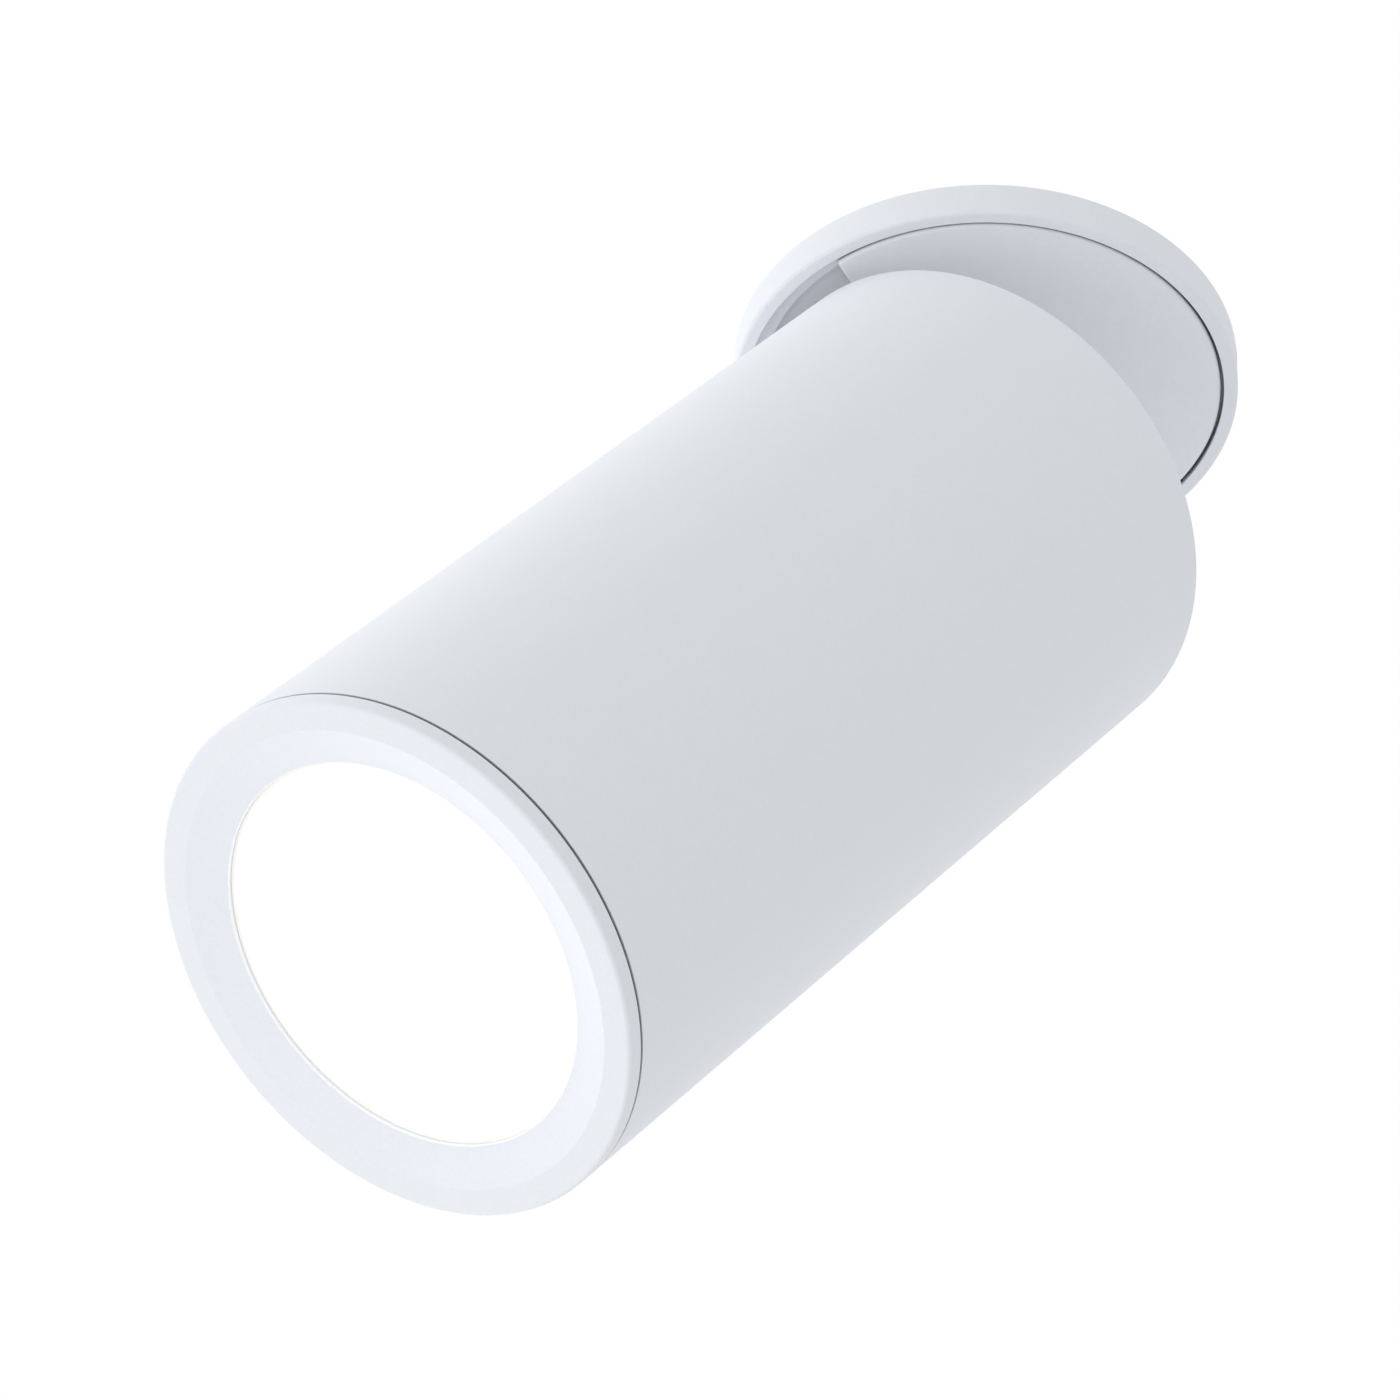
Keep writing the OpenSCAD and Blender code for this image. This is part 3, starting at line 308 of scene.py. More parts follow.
finishes = {
    # name: darker and lighter colour, roughness range, the bump's strength and depth, and the fine and
    # the coarse grain with the coarse one's share, or the rings and their grain
    "powderCoat": (
        (0.775, 0.804, 0.849), (0.857, 0.886, 0.931), (0.5, 0.66), (0.5, 7e-5), (2000.0, 160.0, 0.3)),
    "zincPlate": ((0.6, 0.62, 0.66), (0.76, 0.77, 0.78), (0.24, 0.42), (0.2, 2e-5), (2200.0, 240.0, 0.6)),
    "springSteel": ((0.1, 0.105, 0.12), (0.2, 0.2, 0.22), (0.35, 0.55), (0.2, 2e-5), (2600.0, 300.0)),
    "slidePlastic": ((0.78, 0.75, 0.66), (0.86, 0.83, 0.75), (0.35, 0.5), (0.1, 2e-5), (1800.0, 200.0)),
    "grommetRubber": ((0.014, 0.014, 0.015), (0.03, 0.03, 0.032), (0.55, 0.75), (0.2, 3e-5), (2600.0, 300.0)),
    "sealRubber": ((0.085, 0.08, 0.075), (0.14, 0.132, 0.125), (0.8, 0.95), (0.2, 3e-5), (3000.0, 400.0)),
    "terminalPlastic": ((0.76, 0.74, 0.68), (0.84, 0.82, 0.77), (0.35, 0.5), (0.12, 3e-5), (1500.0, 160.0)),
    "turnedBrass": ((0.55, 0.37, 0.13), (0.74, 0.55, 0.24), (0.2, 0.34), (0.15, 2e-5), (2400.0, 300.0)),
    "casePlastic": ((0.74, 0.75, 0.75), (0.8, 0.81, 0.81), (0.45, 0.6), (0.3, 5e-5), (1600.0, 120.0)),
    "solderMask": ((0.006, 0.085, 0.03), (0.014, 0.13, 0.05), (0.2, 0.34), (0.15, 3e-5), (900.0, 260.0)),
    "tapedCoil": ((0.5, 0.33, 0.05), (0.7, 0.5, 0.1), (0.3, 0.45), (0.35, 1e-4), (700.0, 120.0)),
    "canSleeve": ((0.01, 0.012, 0.02), (0.03, 0.034, 0.045), (0.18, 0.3), (0.1, 3e-5), (900.0, 150.0)),
    "castAluminium": ((0.58, 0.59, 0.61), (0.72, 0.73, 0.75), (0.4, 0.58), (0.35, 6e-5), (1700.0, 140.0)),
    "padCompound": ((0.25, 0.26, 0.28), (0.33, 0.34, 0.36), (0.75, 0.9), (0.3, 5e-5), (1300.0, 240.0)),
    "boardWhite": ((0.82, 0.82, 0.8), (0.88, 0.88, 0.86), (0.28, 0.4), (0.1, 2e-5), (1200.0, 200.0)),
    "chipPhosphor": ((0.8, 0.62, 0.08), (0.88, 0.72, 0.16), (0.3, 0.45), (0.25, 3e-5), (5000.0, 900.0)),
    "reflectorSatin": ((0.83, 0.83, 0.82), (0.88, 0.88, 0.87), (0.3, 0.42), (0.1, 2e-5), (1500.0, 150.0)),
    "milkySilicone": ((0.58, 0.6, 0.62), (0.68, 0.7, 0.72), (0.4, 0.55), (0.15, 3e-5), (1400.0, 220.0)),
    "turnedSteel": ((0.56, 0.57, 0.6), (0.74, 0.75, 0.76), (0.2, 0.36), (0.2, 1e-5), (30000.0, 1400.0)),
    "ferrite": ((0.018, 0.018, 0.02), (0.045, 0.045, 0.048), (0.4, 0.6), (0.3, 4e-5), (2200.0, 180.0)),
    "opalGlow": ((0.82, 0.82, 0.81), (0.86, 0.86, 0.85), (0.3, 0.4), (0.05, 2e-5), (1200.0, 60.0)),
}
metals = ("zincPlate", "springSteel", "turnedBrass", "castAluminium", "turnedSteel")
ringed = ("turnedSteel",)
# The colour under the wear along edges, and its strength
worn = {"powderCoat": ((0.86, 0.885, 0.92), 5.0), "zincPlate": ((0.42, 0.43, 0.46), 8.0)}
# Painted shade in the powder coat's gaps and cracks: how far it looks, its darkest tone and where it ends
paintedShadeFor = {"powderCoat": {"Reach": 0.0015, "Darkest": 0.2, "Open From": 0.55}}
middleTones = (0.25, 0.75)


def grainFinish(name, finish):
    # Base colour between a darker and a lighter tone, roughness about its middle, and a bump from the grain
    low, high, rough, (strength, depth), scales = finish
    material, tree, shader = newMaterial(name, Metallic=1.0 if name in metals else 0.0, IOR=1.5)
    spot = addNode(tree, "ShaderNodeTexCoord").outputs["Object"]
    pattern, labels = grain, ("Fine Scale", "Coarse Scale", "Coarse Share")
    if name in ringed:
        pattern, labels = turned, ("Rings", "Grain Scale")
    texture = addNode(tree, "ShaderNodeGroup", {"Place": spot, **dict(zip(labels, scales))}, node_tree=pattern)
    tone = texture.outputs["Tone"]
    shown = mixColours(tree, tone, (*low, 1), (*high, 1))
    if name in worn:
        colour, gain = worn[name]
        edges = addNode(tree, "ShaderNodeGroup", {"Place": spot, "Gain": gain}, node_tree=wear)
        shown = mixColours(tree, edges.outputs["Mask"], shown, (*colour, 1))
    # Painted shade: the colour is darkened where other surfaces stand near, in gaps and cracks
    if name in paintedShadeFor:
        paintedShadeNode = addNode(tree, "ShaderNodeGroup", {**paintedShadeFor[name], "Colour": shown}, node_tree=paintedShadeTree)
        shown = paintedShadeNode.outputs["Colour"]
    bump = addNode(tree, "ShaderNodeBump", {
        "Strength": strength, "Distance": depth, "Height": texture.outputs["Height"]})
    tree.links.new(shown, shader.inputs["Base Color"])
    tree.links.new(remap(tree, tone, *middleTones, *rough), shader.inputs["Roughness"])
    tree.links.new(bump.outputs["Normal"], shader.inputs["Normal"])
    return material


materials = {name: grainFinish(name, finish) for name, finish in finishes.items()}

# The finish of each CAD slot
slotFinish = {
    "white_powder_coat": "powderCoat", "zinc_steel": "zincPlate", "spring_steel": "springSteel",
    "slide_plastic": "slidePlastic", "grey_rubber": "sealRubber", "terminal_plastic": "terminalPlastic",
    "brass": "turnedBrass", "white_plastic": "casePlastic", "board_green": "solderMask",
    "copper_coil": "tapedCoil", "capacitor_sleeve": "canSleeve", "bare_aluminium": "castAluminium",
    "pad_grey": "padCompound", "board_white": "boardWhite", "chip_yellow": "chipPhosphor",
    "reflector_white": "reflectorSatin", "opal_diffuser": "opalGlow", "clear_silicone": "milkySilicone",
}

glowPlan = {"creamFrom": 27.4, "creamTo": 29.4, "core": (1.7, 1.7, 1.72), "cream": (0.2, 0.175, 0.13)}


def lightUp(material, plan):
    # The opal plate glows evenly, and turns creamy over the last millimetre or so of its radius
    tree = material.node_tree
    shader = tree.nodes["Principled BSDF"]
    back = inHead.inverted()
    lie = addNode(tree, "ShaderNodeMapping", {
        "Vector": addNode(tree, "ShaderNodeTexCoord").outputs["Object"],
        "Location": back.to_translation(), "Rotation": back.to_euler()})
    edge = remap(tree, axisDistance(tree, lie.outputs[0]), plan["creamFrom"] * mm, plan["creamTo"] * mm,
                 interpolation_type="SMOOTHSTEP")
    glow = mixColours(tree, edge, (*plan["core"], 1), (*plan["cream"], 1))
    tree.links.new(glow, shader.inputs["Emission Color"])
    shader.inputs["Emission Strength"].default_value = 1.0


lightUp(materials["opalGlow"], glowPlan)

for part in frame["record"]["subparts"]:
    for slot in nodes[part["node"]].material_slots:
        slot.material = materials[slotFinish[part["material_slot"]]]
print("finishes made:", len(materials))

# ---- shapes: profiles carried round an axis, as grids of points

# How far cutting tools reach past the faces that they go through, in millimetres
past = 1.0
# How far from the ends of a long edge its extra points lie, in millimetres
cornerHold = 0.08
# Points this near to each other after a cut become one, in metres
weldAfterCut = 2e-6
# For CAD meshes: points merged within weld metres, then angles in degrees under which faces count as
# flat, from which edges are rounded, and from which the shading is sharp
softSettings = {"weld": 1e-6, "flat": 0.4, "roundFrom": 32, "sharp": 42.0, "segments": 3}


def arcPoints(centre, radius, start, end, count):
    # Points on a circle from the start to the end angle, in degrees
    turn = np.radians(np.linspace(start, end, count))
    return np.stack([centre[0] + radius * np.cos(turn), centre[1] + radius * np.sin(turn)], 1)


def quarter(x, y, radius, start, end, count):
    # The rounding of a right-angled corner at x, y: a quarter circle that touches both of its edges
    middle = math.radians((start + end) / 2)
    centre = (x - math.copysign(radius, math.cos(middle)), y - math.copysign(radius, math.sin(middle)))
    return arcPoints(centre, radius, start, end, count)


def roundCorners(corners, count=6):
    # Each corner of a closed outline, given as two coordinates and a radius, becomes an arc that
    # touches both of its edges; the arc's centre lies on the corner's bisector
    corners = np.asarray(corners, float)
    point, radius = corners[:, :2], corners[:, 2:3]
    before = np.roll(point, 1, 0) - point
    after = np.roll(point, -1, 0) - point
    before /= np.linalg.norm(before, axis=1, keepdims=True)
    after /= np.linalg.norm(after, axis=1, keepdims=True)
    half = np.arccos(np.clip(np.sum(before * after, 1, keepdims=True), -1, 1)) / 2
    half = np.clip(half, 1e-6, np.pi / 2 - 1e-6)
    middle = before + after
    middle /= np.maximum(np.linalg.norm(middle, axis=1, keepdims=True), 1e-9)
    centre = point + middle * radius / np.sin(half)
    start = point + before * radius / np.tan(half) - centre
    end = point + after * radius / np.tan(half) - centre
    low = np.arctan2(start[:, 1], start[:, 0])[:, None]
    turn = np.arctan2(end[:, 1], end[:, 0])[:, None] - low
    turn = (turn + np.pi) % (2 * np.pi) - np.pi
    angle = low + turn * np.linspace(0, 1, count)
    arcs = centre[:, None, :] + radius[:, None, :] * np.stack([np.cos(angle), np.sin(angle)], -1)
    arcs = np.where(radius[:, None, :] > 0, arcs, point[:, None, :]).reshape(-1, 2)
    keep = np.linalg.norm(arcs - np.roll(arcs, 1, 0), axis=1) > 1e-5
    return arcs[keep]


def roundBox(low, high, radius, count=6):
    # A rectangle between two of its corners, with all four of them rounded
    (x0, y0), (x1, y1) = low, high
    return roundCorners([(x0, y0, radius), (x1, y0, radius), (x1, y1, radius), (x0, y1, radius)], count)


def holdCorners(outline, hold, closed=True):
    # Two extra points on each long edge of an outline, one near each end, so that shading stays crisp
    outline = np.asarray(outline, float)
    step = np.roll(outline, -1, 0) - outline
    if not closed:
        step[-1] = 0
    length = np.linalg.norm(step, axis=1)
    unit = step / np.maximum(length, 1e-9)[:, None]
    long = length > 3 * hold
    stack = np.stack([outline, outline + unit * hold, outline + unit * (length[:, None] - hold)], 1)
    keep = np.stack([np.ones_like(long), long, long], 1)
    return stack[keep]


def splitLong(outline, longest):
    # Each edge of a closed outline is cut into equal parts no longer than the given length
    outline = np.asarray(outline, float)
    step = np.roll(outline, -1, 0) - outline
    parts = np.maximum(1, np.ceil(np.linalg.norm(step, axis=1) / longest)).astype(int)
    index = np.repeat(np.arange(len(outline)), parts)
    within = np.arange(len(index)) - np.repeat(np.cumsum(parts) - parts, parts)
    return outline[index] + step[index] * (within / parts[index])[:, None]


def gridFaces(rows, columns, closeRows, closeColumns):
    # Quads between neighbouring points of a grid of rows by columns, wrapped where it is closed
    i = np.arange(rows if closeRows else rows - 1)[:, None]
    j = np.arange(columns if closeColumns else columns - 1)[None, :]
    nextI, nextJ = (i + 1) % rows, (j + 1) % columns
    quads = np.stack([i * columns + j, nextI * columns + j, nextI * columns + nextJ, i * columns + nextJ], -1)
    return quads.reshape(-1, 4)


def makePiece(name, points, faces, matrix, material="powderCoat", sharp=30.0):
    # Points in millimetres of their own frame, put into the shared frame by the matrix
    points = np.asarray(points, float).reshape(-1, 3) * mm
    turn = np.array(matrix.to_3x3())
    points = points @ turn.T + np.array(matrix.to_translation())
    mesh = bpy.data.meshes.new(name)
    mesh.from_pydata(points.tolist(), [], [list(map(int, f)) for f in faces])
    mesh.validate()
    mesh.shade_smooth()
    mesh.set_sharp_from_angle(angle=math.radians(sharp))
    mesh.materials.append(materials[material])
    return newObject(name, mesh)


def ringPiece(name, grid, matrix, material="powderCoat"):
    # A grid of rows round an axis by points along a closed profile: a closed tube of any section
    rows, columns = grid.shape[:2]
    faces = gridFaces(rows, columns, True, True)
    return makePiece(name, grid, faces if outwards(grid, True) else faces[:, ::-1], matrix, material)


def polePiece(name, grid, matrix, material="powderCoat", sharp=30.0):
    # As ringPiece, but the profile is open and its first and last points are poles on the axis
    rows, columns = grid.shape[:2]
    inside = grid[:, 1:-1].reshape(-1, 3)
    poles = np.stack([grid[:, 0].mean(0), grid[:, -1].mean(0)])
    width = columns - 2
    quads = gridFaces(rows, width, True, False)
    i = np.arange(rows)
    nextI = (i + 1) % rows
    first = np.stack([np.full(rows, rows * width), nextI * width, i * width], 1)
    last = np.stack([np.full(rows, rows * width + 1), i * width + width - 1, nextI * width + width - 1], 1)
    faces = quads.tolist() + first.tolist() + last.tolist()
    if not outwards(grid, False):
        faces = [face[::-1] for face in faces]
    return makePiece(name, np.concatenate([inside, poles]), faces, matrix, material, sharp)


def outwards(grid, closed):
    # Whether the quads of a grid face outwards: the sign of the volume that they enclose
    nextRow = np.roll(grid, -1, 0)
    a, b, c, d = grid, nextRow, np.roll(nextRow, -1, 1), np.roll(grid, -1, 1)
    if not closed:
        a, b, c, d = a[:, :-1], b[:, :-1], c[:, :-1], d[:, :-1]
    volume = np.sum(a * np.cross(b, c)) + np.sum(a * np.cross(c, d))
    return volume > 0


def turnedGrid(outline, segments):
    # An outline of radius and height carried round the axis: x = r cos u, y = r sin u, z = h
    turn = np.linspace(0, 2 * np.pi, segments, endpoint=False)[:, None]
    r, h = outline[None, :, 0], outline[None, :, 1]
    return np.stack([r * np.cos(turn), r * np.sin(turn), h + 0 * turn], -1)


def turnedPiece(name, outline, segments, matrix, material="powderCoat", hold=cornerHold):
    # A closed outline that stays off the axis, carried once round it
    return ringPiece(name, turnedGrid(holdCorners(outline, hold), segments), matrix, material)


def solidTurned(name, outline, segments, matrix, material="powderCoat", sharp=30.0):
    # An open outline that starts and ends on the axis, carried once round it
    grid = turnedGrid(holdCorners(outline, cornerHold, False), segments)
    return polePiece(name, grid, matrix, material, sharp)


def signedArea(outline):
    # Twice the outline's area, the sum of its points' cross products: above zero if it runs anticlockwise
    (x, y), (nextX, nextY) = outline.T, np.roll(outline, -1, 0).T
    return np.sum(x * nextY - nextX * y)


def plateGrid(outline, low, high, edgeLow, edgeHigh, count=6, hold=0.1):
    # A plan outline carried from low to high: each ring is the outline moved inwards along its normal
    # by 1 - sin of the edge angle times the edge radius, while the height follows 1 - cos
    outline = np.asarray(outline, float)
    along = np.roll(outline, -1, 0) - np.roll(outline, 1, 0)
    normal = np.stack([along[:, 1], -along[:, 0]], 1)
    normal /= np.linalg.norm(normal, axis=1, keepdims=True)
    normal *= np.sign(signedArea(outline))
    bend = np.linspace(0, np.pi / 2, count)
    inset = np.concatenate([[edgeLow + hold], edgeLow * (1 - np.sin(bend)),
                            edgeHigh * (1 - np.sin(bend[::-1])), [edgeHigh + hold]])
    height = np.concatenate([[low], low + edgeLow * (1 - np.cos(bend)),
                             high - edgeHigh * (1 - np.cos(bend[::-1])), [high]])
    rings = outline[:, None, :] - normal[:, None, :] * inset[None, :, None]
    return np.concatenate([rings, np.broadcast_to(height[None, :, None], (*rings.shape[:2], 1))], -1)


def platePiece(name, outline, low, high, matrix, edges, material="powderCoat"):
    # A plate of any plan with rounded edges; each of its two faces is one flat polygon
    grid = plateGrid(outline, low, high, *edges)
    rows, columns = grid.shape[:2]
    quads = gridFaces(rows, columns, True, False)
    lowFace = (np.arange(rows) * columns).tolist()
    highFace = (np.arange(rows) * columns + columns - 1).tolist()
    if signedArea(grid[:, 0, :2]) > 0:
        faces = quads.tolist() + [lowFace[::-1], highFace]
    else:
        faces = quads[:, ::-1].tolist() + [lowFace, highFace[::-1]]
    return makePiece(name, grid, faces, matrix, material)


def carve(piece, tools, how="DIFFERENCE", sharp=30.0):
    # Takes the tools' space out of the piece, or adds it, and puts the result into its mesh
    for tool in tools:
        step = piece.modifiers.new("carve", "BOOLEAN")
        step.operation, step.solver, step.object = how, "EXACT", tool
    shown = piece.evaluated_get(bpy.context.evaluated_depsgraph_get())
    result = bpy.data.meshes.new_from_object(shown)
    piece.modifiers.clear()
    old, piece.data = piece.data, result
    bpy.data.meshes.remove(old)
    work = bmesh.new()
    work.from_mesh(result)
    bmesh.ops.remove_doubles(work, verts=work.verts, dist=weldAfterCut)
    work.to_mesh(result)
    work.free()
    for tool in tools:
        bpy.data.objects.remove(tool)
    result.shade_smooth()
    result.set_sharp_from_angle(angle=math.radians(sharp))


def solidRod(radius, low, high, segments, matrix):
    # A plain cylinder, as a tool to carve with
    outline = np.array([(0.0, low), (radius, low), (radius, high), (0.0, high)])
    return solidTurned("tool", outline, segments, matrix)


def solidSink(r, headR, deep, spread, matrix):
    # A countersunk hole as a tool: the shank's hole, then a cone to the head's rim, open above it
    return solidTurned("tool", np.array([
        (0, -deep), (r, -deep), (r, r - headR), (headR + spread, spread), (headR + spread, past), (0, past)]),
        40, matrix)


def solidBox(low, high, matrix):
    # The eight corners of a box and its six faces, as a tool to carve with
    x, y, z = [np.array([low[i], high[i]]) for i in range(3)]
    points = np.stack(np.meshgrid(x, y, z, indexing="ij"), -1).reshape(-1, 3)
    faces = [(0, 1, 3, 2), (4, 6, 7, 5), (0, 4, 5, 1), (2, 3, 7, 6), (0, 2, 6, 4), (1, 5, 7, 3)]
    return makePiece("tool", points, faces, matrix)


def settle(piece, body, slot, *cadNodes):
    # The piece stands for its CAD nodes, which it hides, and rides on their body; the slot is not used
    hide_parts(*cadNodes)
    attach(piece, body)


def moved(base, x, y, z):
    return base @ Matrix.Translation((x * mm, y * mm, z * mm))


def turnedAbout(base, axis, degrees):
    return base @ Matrix.Rotation(math.radians(degrees), 4, axis)


def onRing(radius, angles, height=0.0):
    # Places in the head at one distance from its axis
    return [moved(inHead, radius * math.cos(math.radians(a)), radius * math.sin(math.radians(a)), height)
            for a in angles]


def softCopy(name, node, width, body, slot):
    # The CAD node's own mesh, merged, its flat faces joined again, and its edges rounded
    mesh = nodes[node].data.copy()
    mesh.transform(nodes[node].matrix_world)
    work = bmesh.new()
    work.from_mesh(mesh)
    bmesh.ops.remove_doubles(work, verts=work.verts, dist=softSettings["weld"])
    bmesh.ops.dissolve_limit(work, angle_limit=math.radians(softSettings["flat"]), verts=work.verts,
                             edges=work.edges)
    work.to_mesh(mesh)
    work.free()
    mesh.name = name
    mesh.materials.clear()
    mesh.materials.append(materials[slotFinish[slot]])
    piece = newObject(name, mesh)
    step = piece.modifiers.new("edges", "BEVEL")
    step.width, step.segments, step.limit_method = width * mm, softSettings["segments"], "ANGLE"
    step.angle_limit = math.radians(softSettings["roundFrom"])
    carve(piece, [], sharp=softSettings["sharp"])
    settle(piece, body, slot, node)


def joinPieces(name, pieces):
    # Several pieces become one mesh, whose faces keep their own finishes
    if len(pieces) > 1:
        with bpy.context.temp_override(active_object=pieces[0], selected_editable_objects=pieces):
            bpy.ops.object.join()
    pieces[0].name = name
    pieces[0].data.name = name
    return pieces[0]


# ---- canopy: rim, ledge, riser and web in one turned shell

canopyPlan = {
    "outerR": 39.8, "height": 6.3, "rimWall": 2.2, "outerRound": 0.6, "innerRound": 0.15, "backChamfer": 0.15,
    "ledgeFace": 4.6, "ledgeInR": 35.3, "riserT": 0.9, "webT": 1.2, "webDepth": 1.8, "boreR": 5.05,
    "windowX": 25.0, "windowHalf": (6.5, 4.45), "grubAngle": 148.0, "grubDrop": 2.0, "grubR": 1.3,
    "stopR": 28.0, "stopHole": 0.85, "segments": 360,
}


def makeCanopy(plan):
    # One outline, down the outside, round the rim and back along ledge, riser and web, is carried round
    # the axis; the windows, the grub screws' holes and the stop's hole are cut through it
    outer, height, ledge, chamfer = plan["outerR"], plan["height"], plan["ledgeFace"], plan["backChamfer"]
    inner, web = outer - plan["rimWall"], plan["webDepth"] + plan["webT"]
    riser, ledgeBack = plan["ledgeInR"] + plan["riserT"], plan["webT"] - ledge
    outline = np.concatenate([
        [(outer - chamfer, 0), (outer, -chamfer)], quarter(outer, -height, plan["outerRound"], 0, -90, 12),
        quarter(inner, -height, plan["innerRound"], -90, -180, 7),
        [(inner, -ledge), (plan["ledgeInR"], -ledge), (plan["ledgeInR"], -web), (plan["boreR"], -web),
         (plan["boreR"], -plan["webDepth"]), (riser, -plan["webDepth"]), (riser, ledgeBack), (inner, ledgeBack),
         (inner, 0)]])
    shell = turnedPiece("canopyShell", outline, plan["segments"], upright)
    halfX, halfY = plan["windowHalf"]
    cutters = [solidBox((side * plan["windowX"] - halfX, -halfY, -web - past),
                        (side * plan["windowX"] + halfX, halfY, past), upright) for side in (-1, 1)]
    for turn in (0, 180):
        inwards = turnedAbout(upright, "Z", plan["grubAngle"] + turn)
        aim = turnedAbout(moved(inwards, 0, 0, -plan["grubDrop"]), "Y", 90)
        cutters.append(solidRod(plan["grubR"], inner - past, outer + past, 40, aim))
    cutters.append(solidRod(plan["stopHole"], -web - past, past - plan["webDepth"], 32,
                            moved(upright, 0, plan["stopR"], 0)))
    carve(shell, cutters)
    settle(shell, "canopy", "white_powder_coat", "canopy")


makeCanopy(canopyPlan)
print("canopy made")

# ---- turning disc inside the rim, with the notch that clears the arm

discPlan = {
    "radius": 37.1, "face": -6.3, "thickness": 1.4, "edges": (0.7, 0.15), "join": 0.7,
    "notchIn": 20.4, "notchHalf": 5.8, "notchAngle": 38.0, "notchRound": 1.2, "notchInRound": 0.8, "mouth": 4.5,
    "bossR": 9.5, "bossBack": -3.45, "boreR": 5.05, "boreDeep": 4.0, "step": 1.2,
    "screwX": (-12.9, -18.0), "screwY": 4.6, "screwR": 1.1, "screwHeadR": 2.0, "screwDeep": 3.0,
    "stopR": 28.0, "stopWidth": 1.6, "stopLength": 4.0, "stopBack": -3.3,
}
# Turns a screw's head, which faces up its axis, to face down it
flip = Matrix.Rotation(math.pi, 4, "X")
armScrewsAt = [moved(upright, x, side * discPlan["screwY"], discPlan["face"]) @ flip
               for x in discPlan["screwX"] for side in (-1, 1)]


def notchedOutline(plan):
    # A circle whose notch runs in along a straight side at the notch's angle, across, and out again
    cut = math.radians(plan["notchAngle"])
    start = np.array([plan["notchIn"], plan["notchHalf"]])
    way = np.array([math.cos(cut), math.sin(cut)])
    reach = -start @ way + math.sqrt((start @ way) ** 2 - start @ start + plan["radius"] ** 2)
    (x, y), corner = start, start + reach * way
    begin = math.degrees(math.atan2(corner[1], corner[0])) + plan["mouth"]
    circle = arcPoints((0, 0), plan["radius"], begin, 360 - begin, 340)
    mouth = roundCorners([
        (*circle[-1], 0), (corner[0], -corner[1], plan["notchRound"]), (x, -y, plan["notchInRound"]),
        (x, y, plan["notchInRound"]), (*corner, plan["notchRound"]), (*circle[0], 0)], 10)
    return splitLong(np.concatenate([circle[1:-1], mouth]) * (-1, 1), plan["step"])


def makeDisc(plan, screws):
    # The notched circle is carried through the thickness, boss and stop join it, bore and sinks are cut
    face, join, width, length = plan["face"], plan["join"], plan["stopWidth"], plan["stopLength"]
    back = face + plan["thickness"]
    disc = platePiece("turningDisc", notchedOutline(plan), face, back, upright, plan["edges"])
    boss = solidRod(plan["bossR"], face + join, plan["bossBack"], 96, upright)
    stop = solidBox((-width / 2, -plan["stopR"] - length / 2, face + join),
                    (width / 2, length / 2 - plan["stopR"], plan["stopBack"]), upright)
    carve(disc, [boss, stop], "UNION")
    sinks = [solidSink(plan["screwR"], plan["screwHeadR"], plan["screwDeep"], 0.0, aim) for aim in screws]
    carve(disc, [solidRod(plan["boreR"], face - past, face + plan["boreDeep"], 96, upright)] + sinks)
    settle(disc, "swivel", "white_powder_coat", "cover_disc")


makeDisc(discPlan, armScrewsAt)
print("disc made")

# ---- lamp tube, bezel and diffuser

tubePlan = {
    "outerR": 39.985, "wall": 2.385, "rearRound": 0.5, "frontRound": 0.12, "length": 149.2,
    "rearStep": 1.0, "frontStep": 0.6, "capLow": 3.5, "sinkBack": 125.4, "segments": 384, "postRing": 35.0,
    "postR": 3.2, "postLen": 12.0, "postGap": 0.02, "postHole": 1.55, "postFloor": 2.0, "posts": (0, 120, 240),
}


def makeTube(plan):
    # A wall with a step inside each end is carried round the axis; posts for the cap's screws join it
    outer, bore, length, cap = plan["outerR"], plan["outerR"] - plan["wall"], plan["length"], plan["capLow"]
    rear, front = bore + plan["rearStep"], bore + plan["frontStep"]
    outline = np.concatenate([
        [(rear, 0)], quarter(outer, 0, plan["rearRound"], 90, 0, 10),
        quarter(outer, -length, plan["frontRound"], 0, -90, 7),
        [(front, -length), (front, -plan["sinkBack"]), (bore, -plan["sinkBack"]), (bore, -cap), (rear, -cap)]])
    tube = turnedPiece("lampTube", outline, plan["segments"], inHead)
    low, high = -cap - plan["postLen"], -cap - plan["postGap"]
    places = onRing(plan["postRing"], plan["posts"])
    carve(tube, [solidRod(plan["postR"], low, high, 64, aim) for aim in places], "UNION")
    carve(tube, [solidRod(plan["postHole"], low + plan["postFloor"], high + past, 40, aim)
                 for aim in places])
    settle(tube, "head", "white_powder_coat", "head_tube")


makeTube(tubePlan)

bezelPlan = {
    "outerR": 39.985, "back": 149.7, "front": 152.4, "round": 0.6, "backRound": 0.12, "flatWidth": 4.185,
    "openingR": 29.8, "coveDepth": 2.0, "coveBend": 1.1, "covePoints": 30, "coveSpread": 0.7,
    "lip": 0.8, "lipRound": 0.25, "spigotR": 38.1, "spigotInR": 36.5, "spigotLen": 8.5, "segments": 384,
}


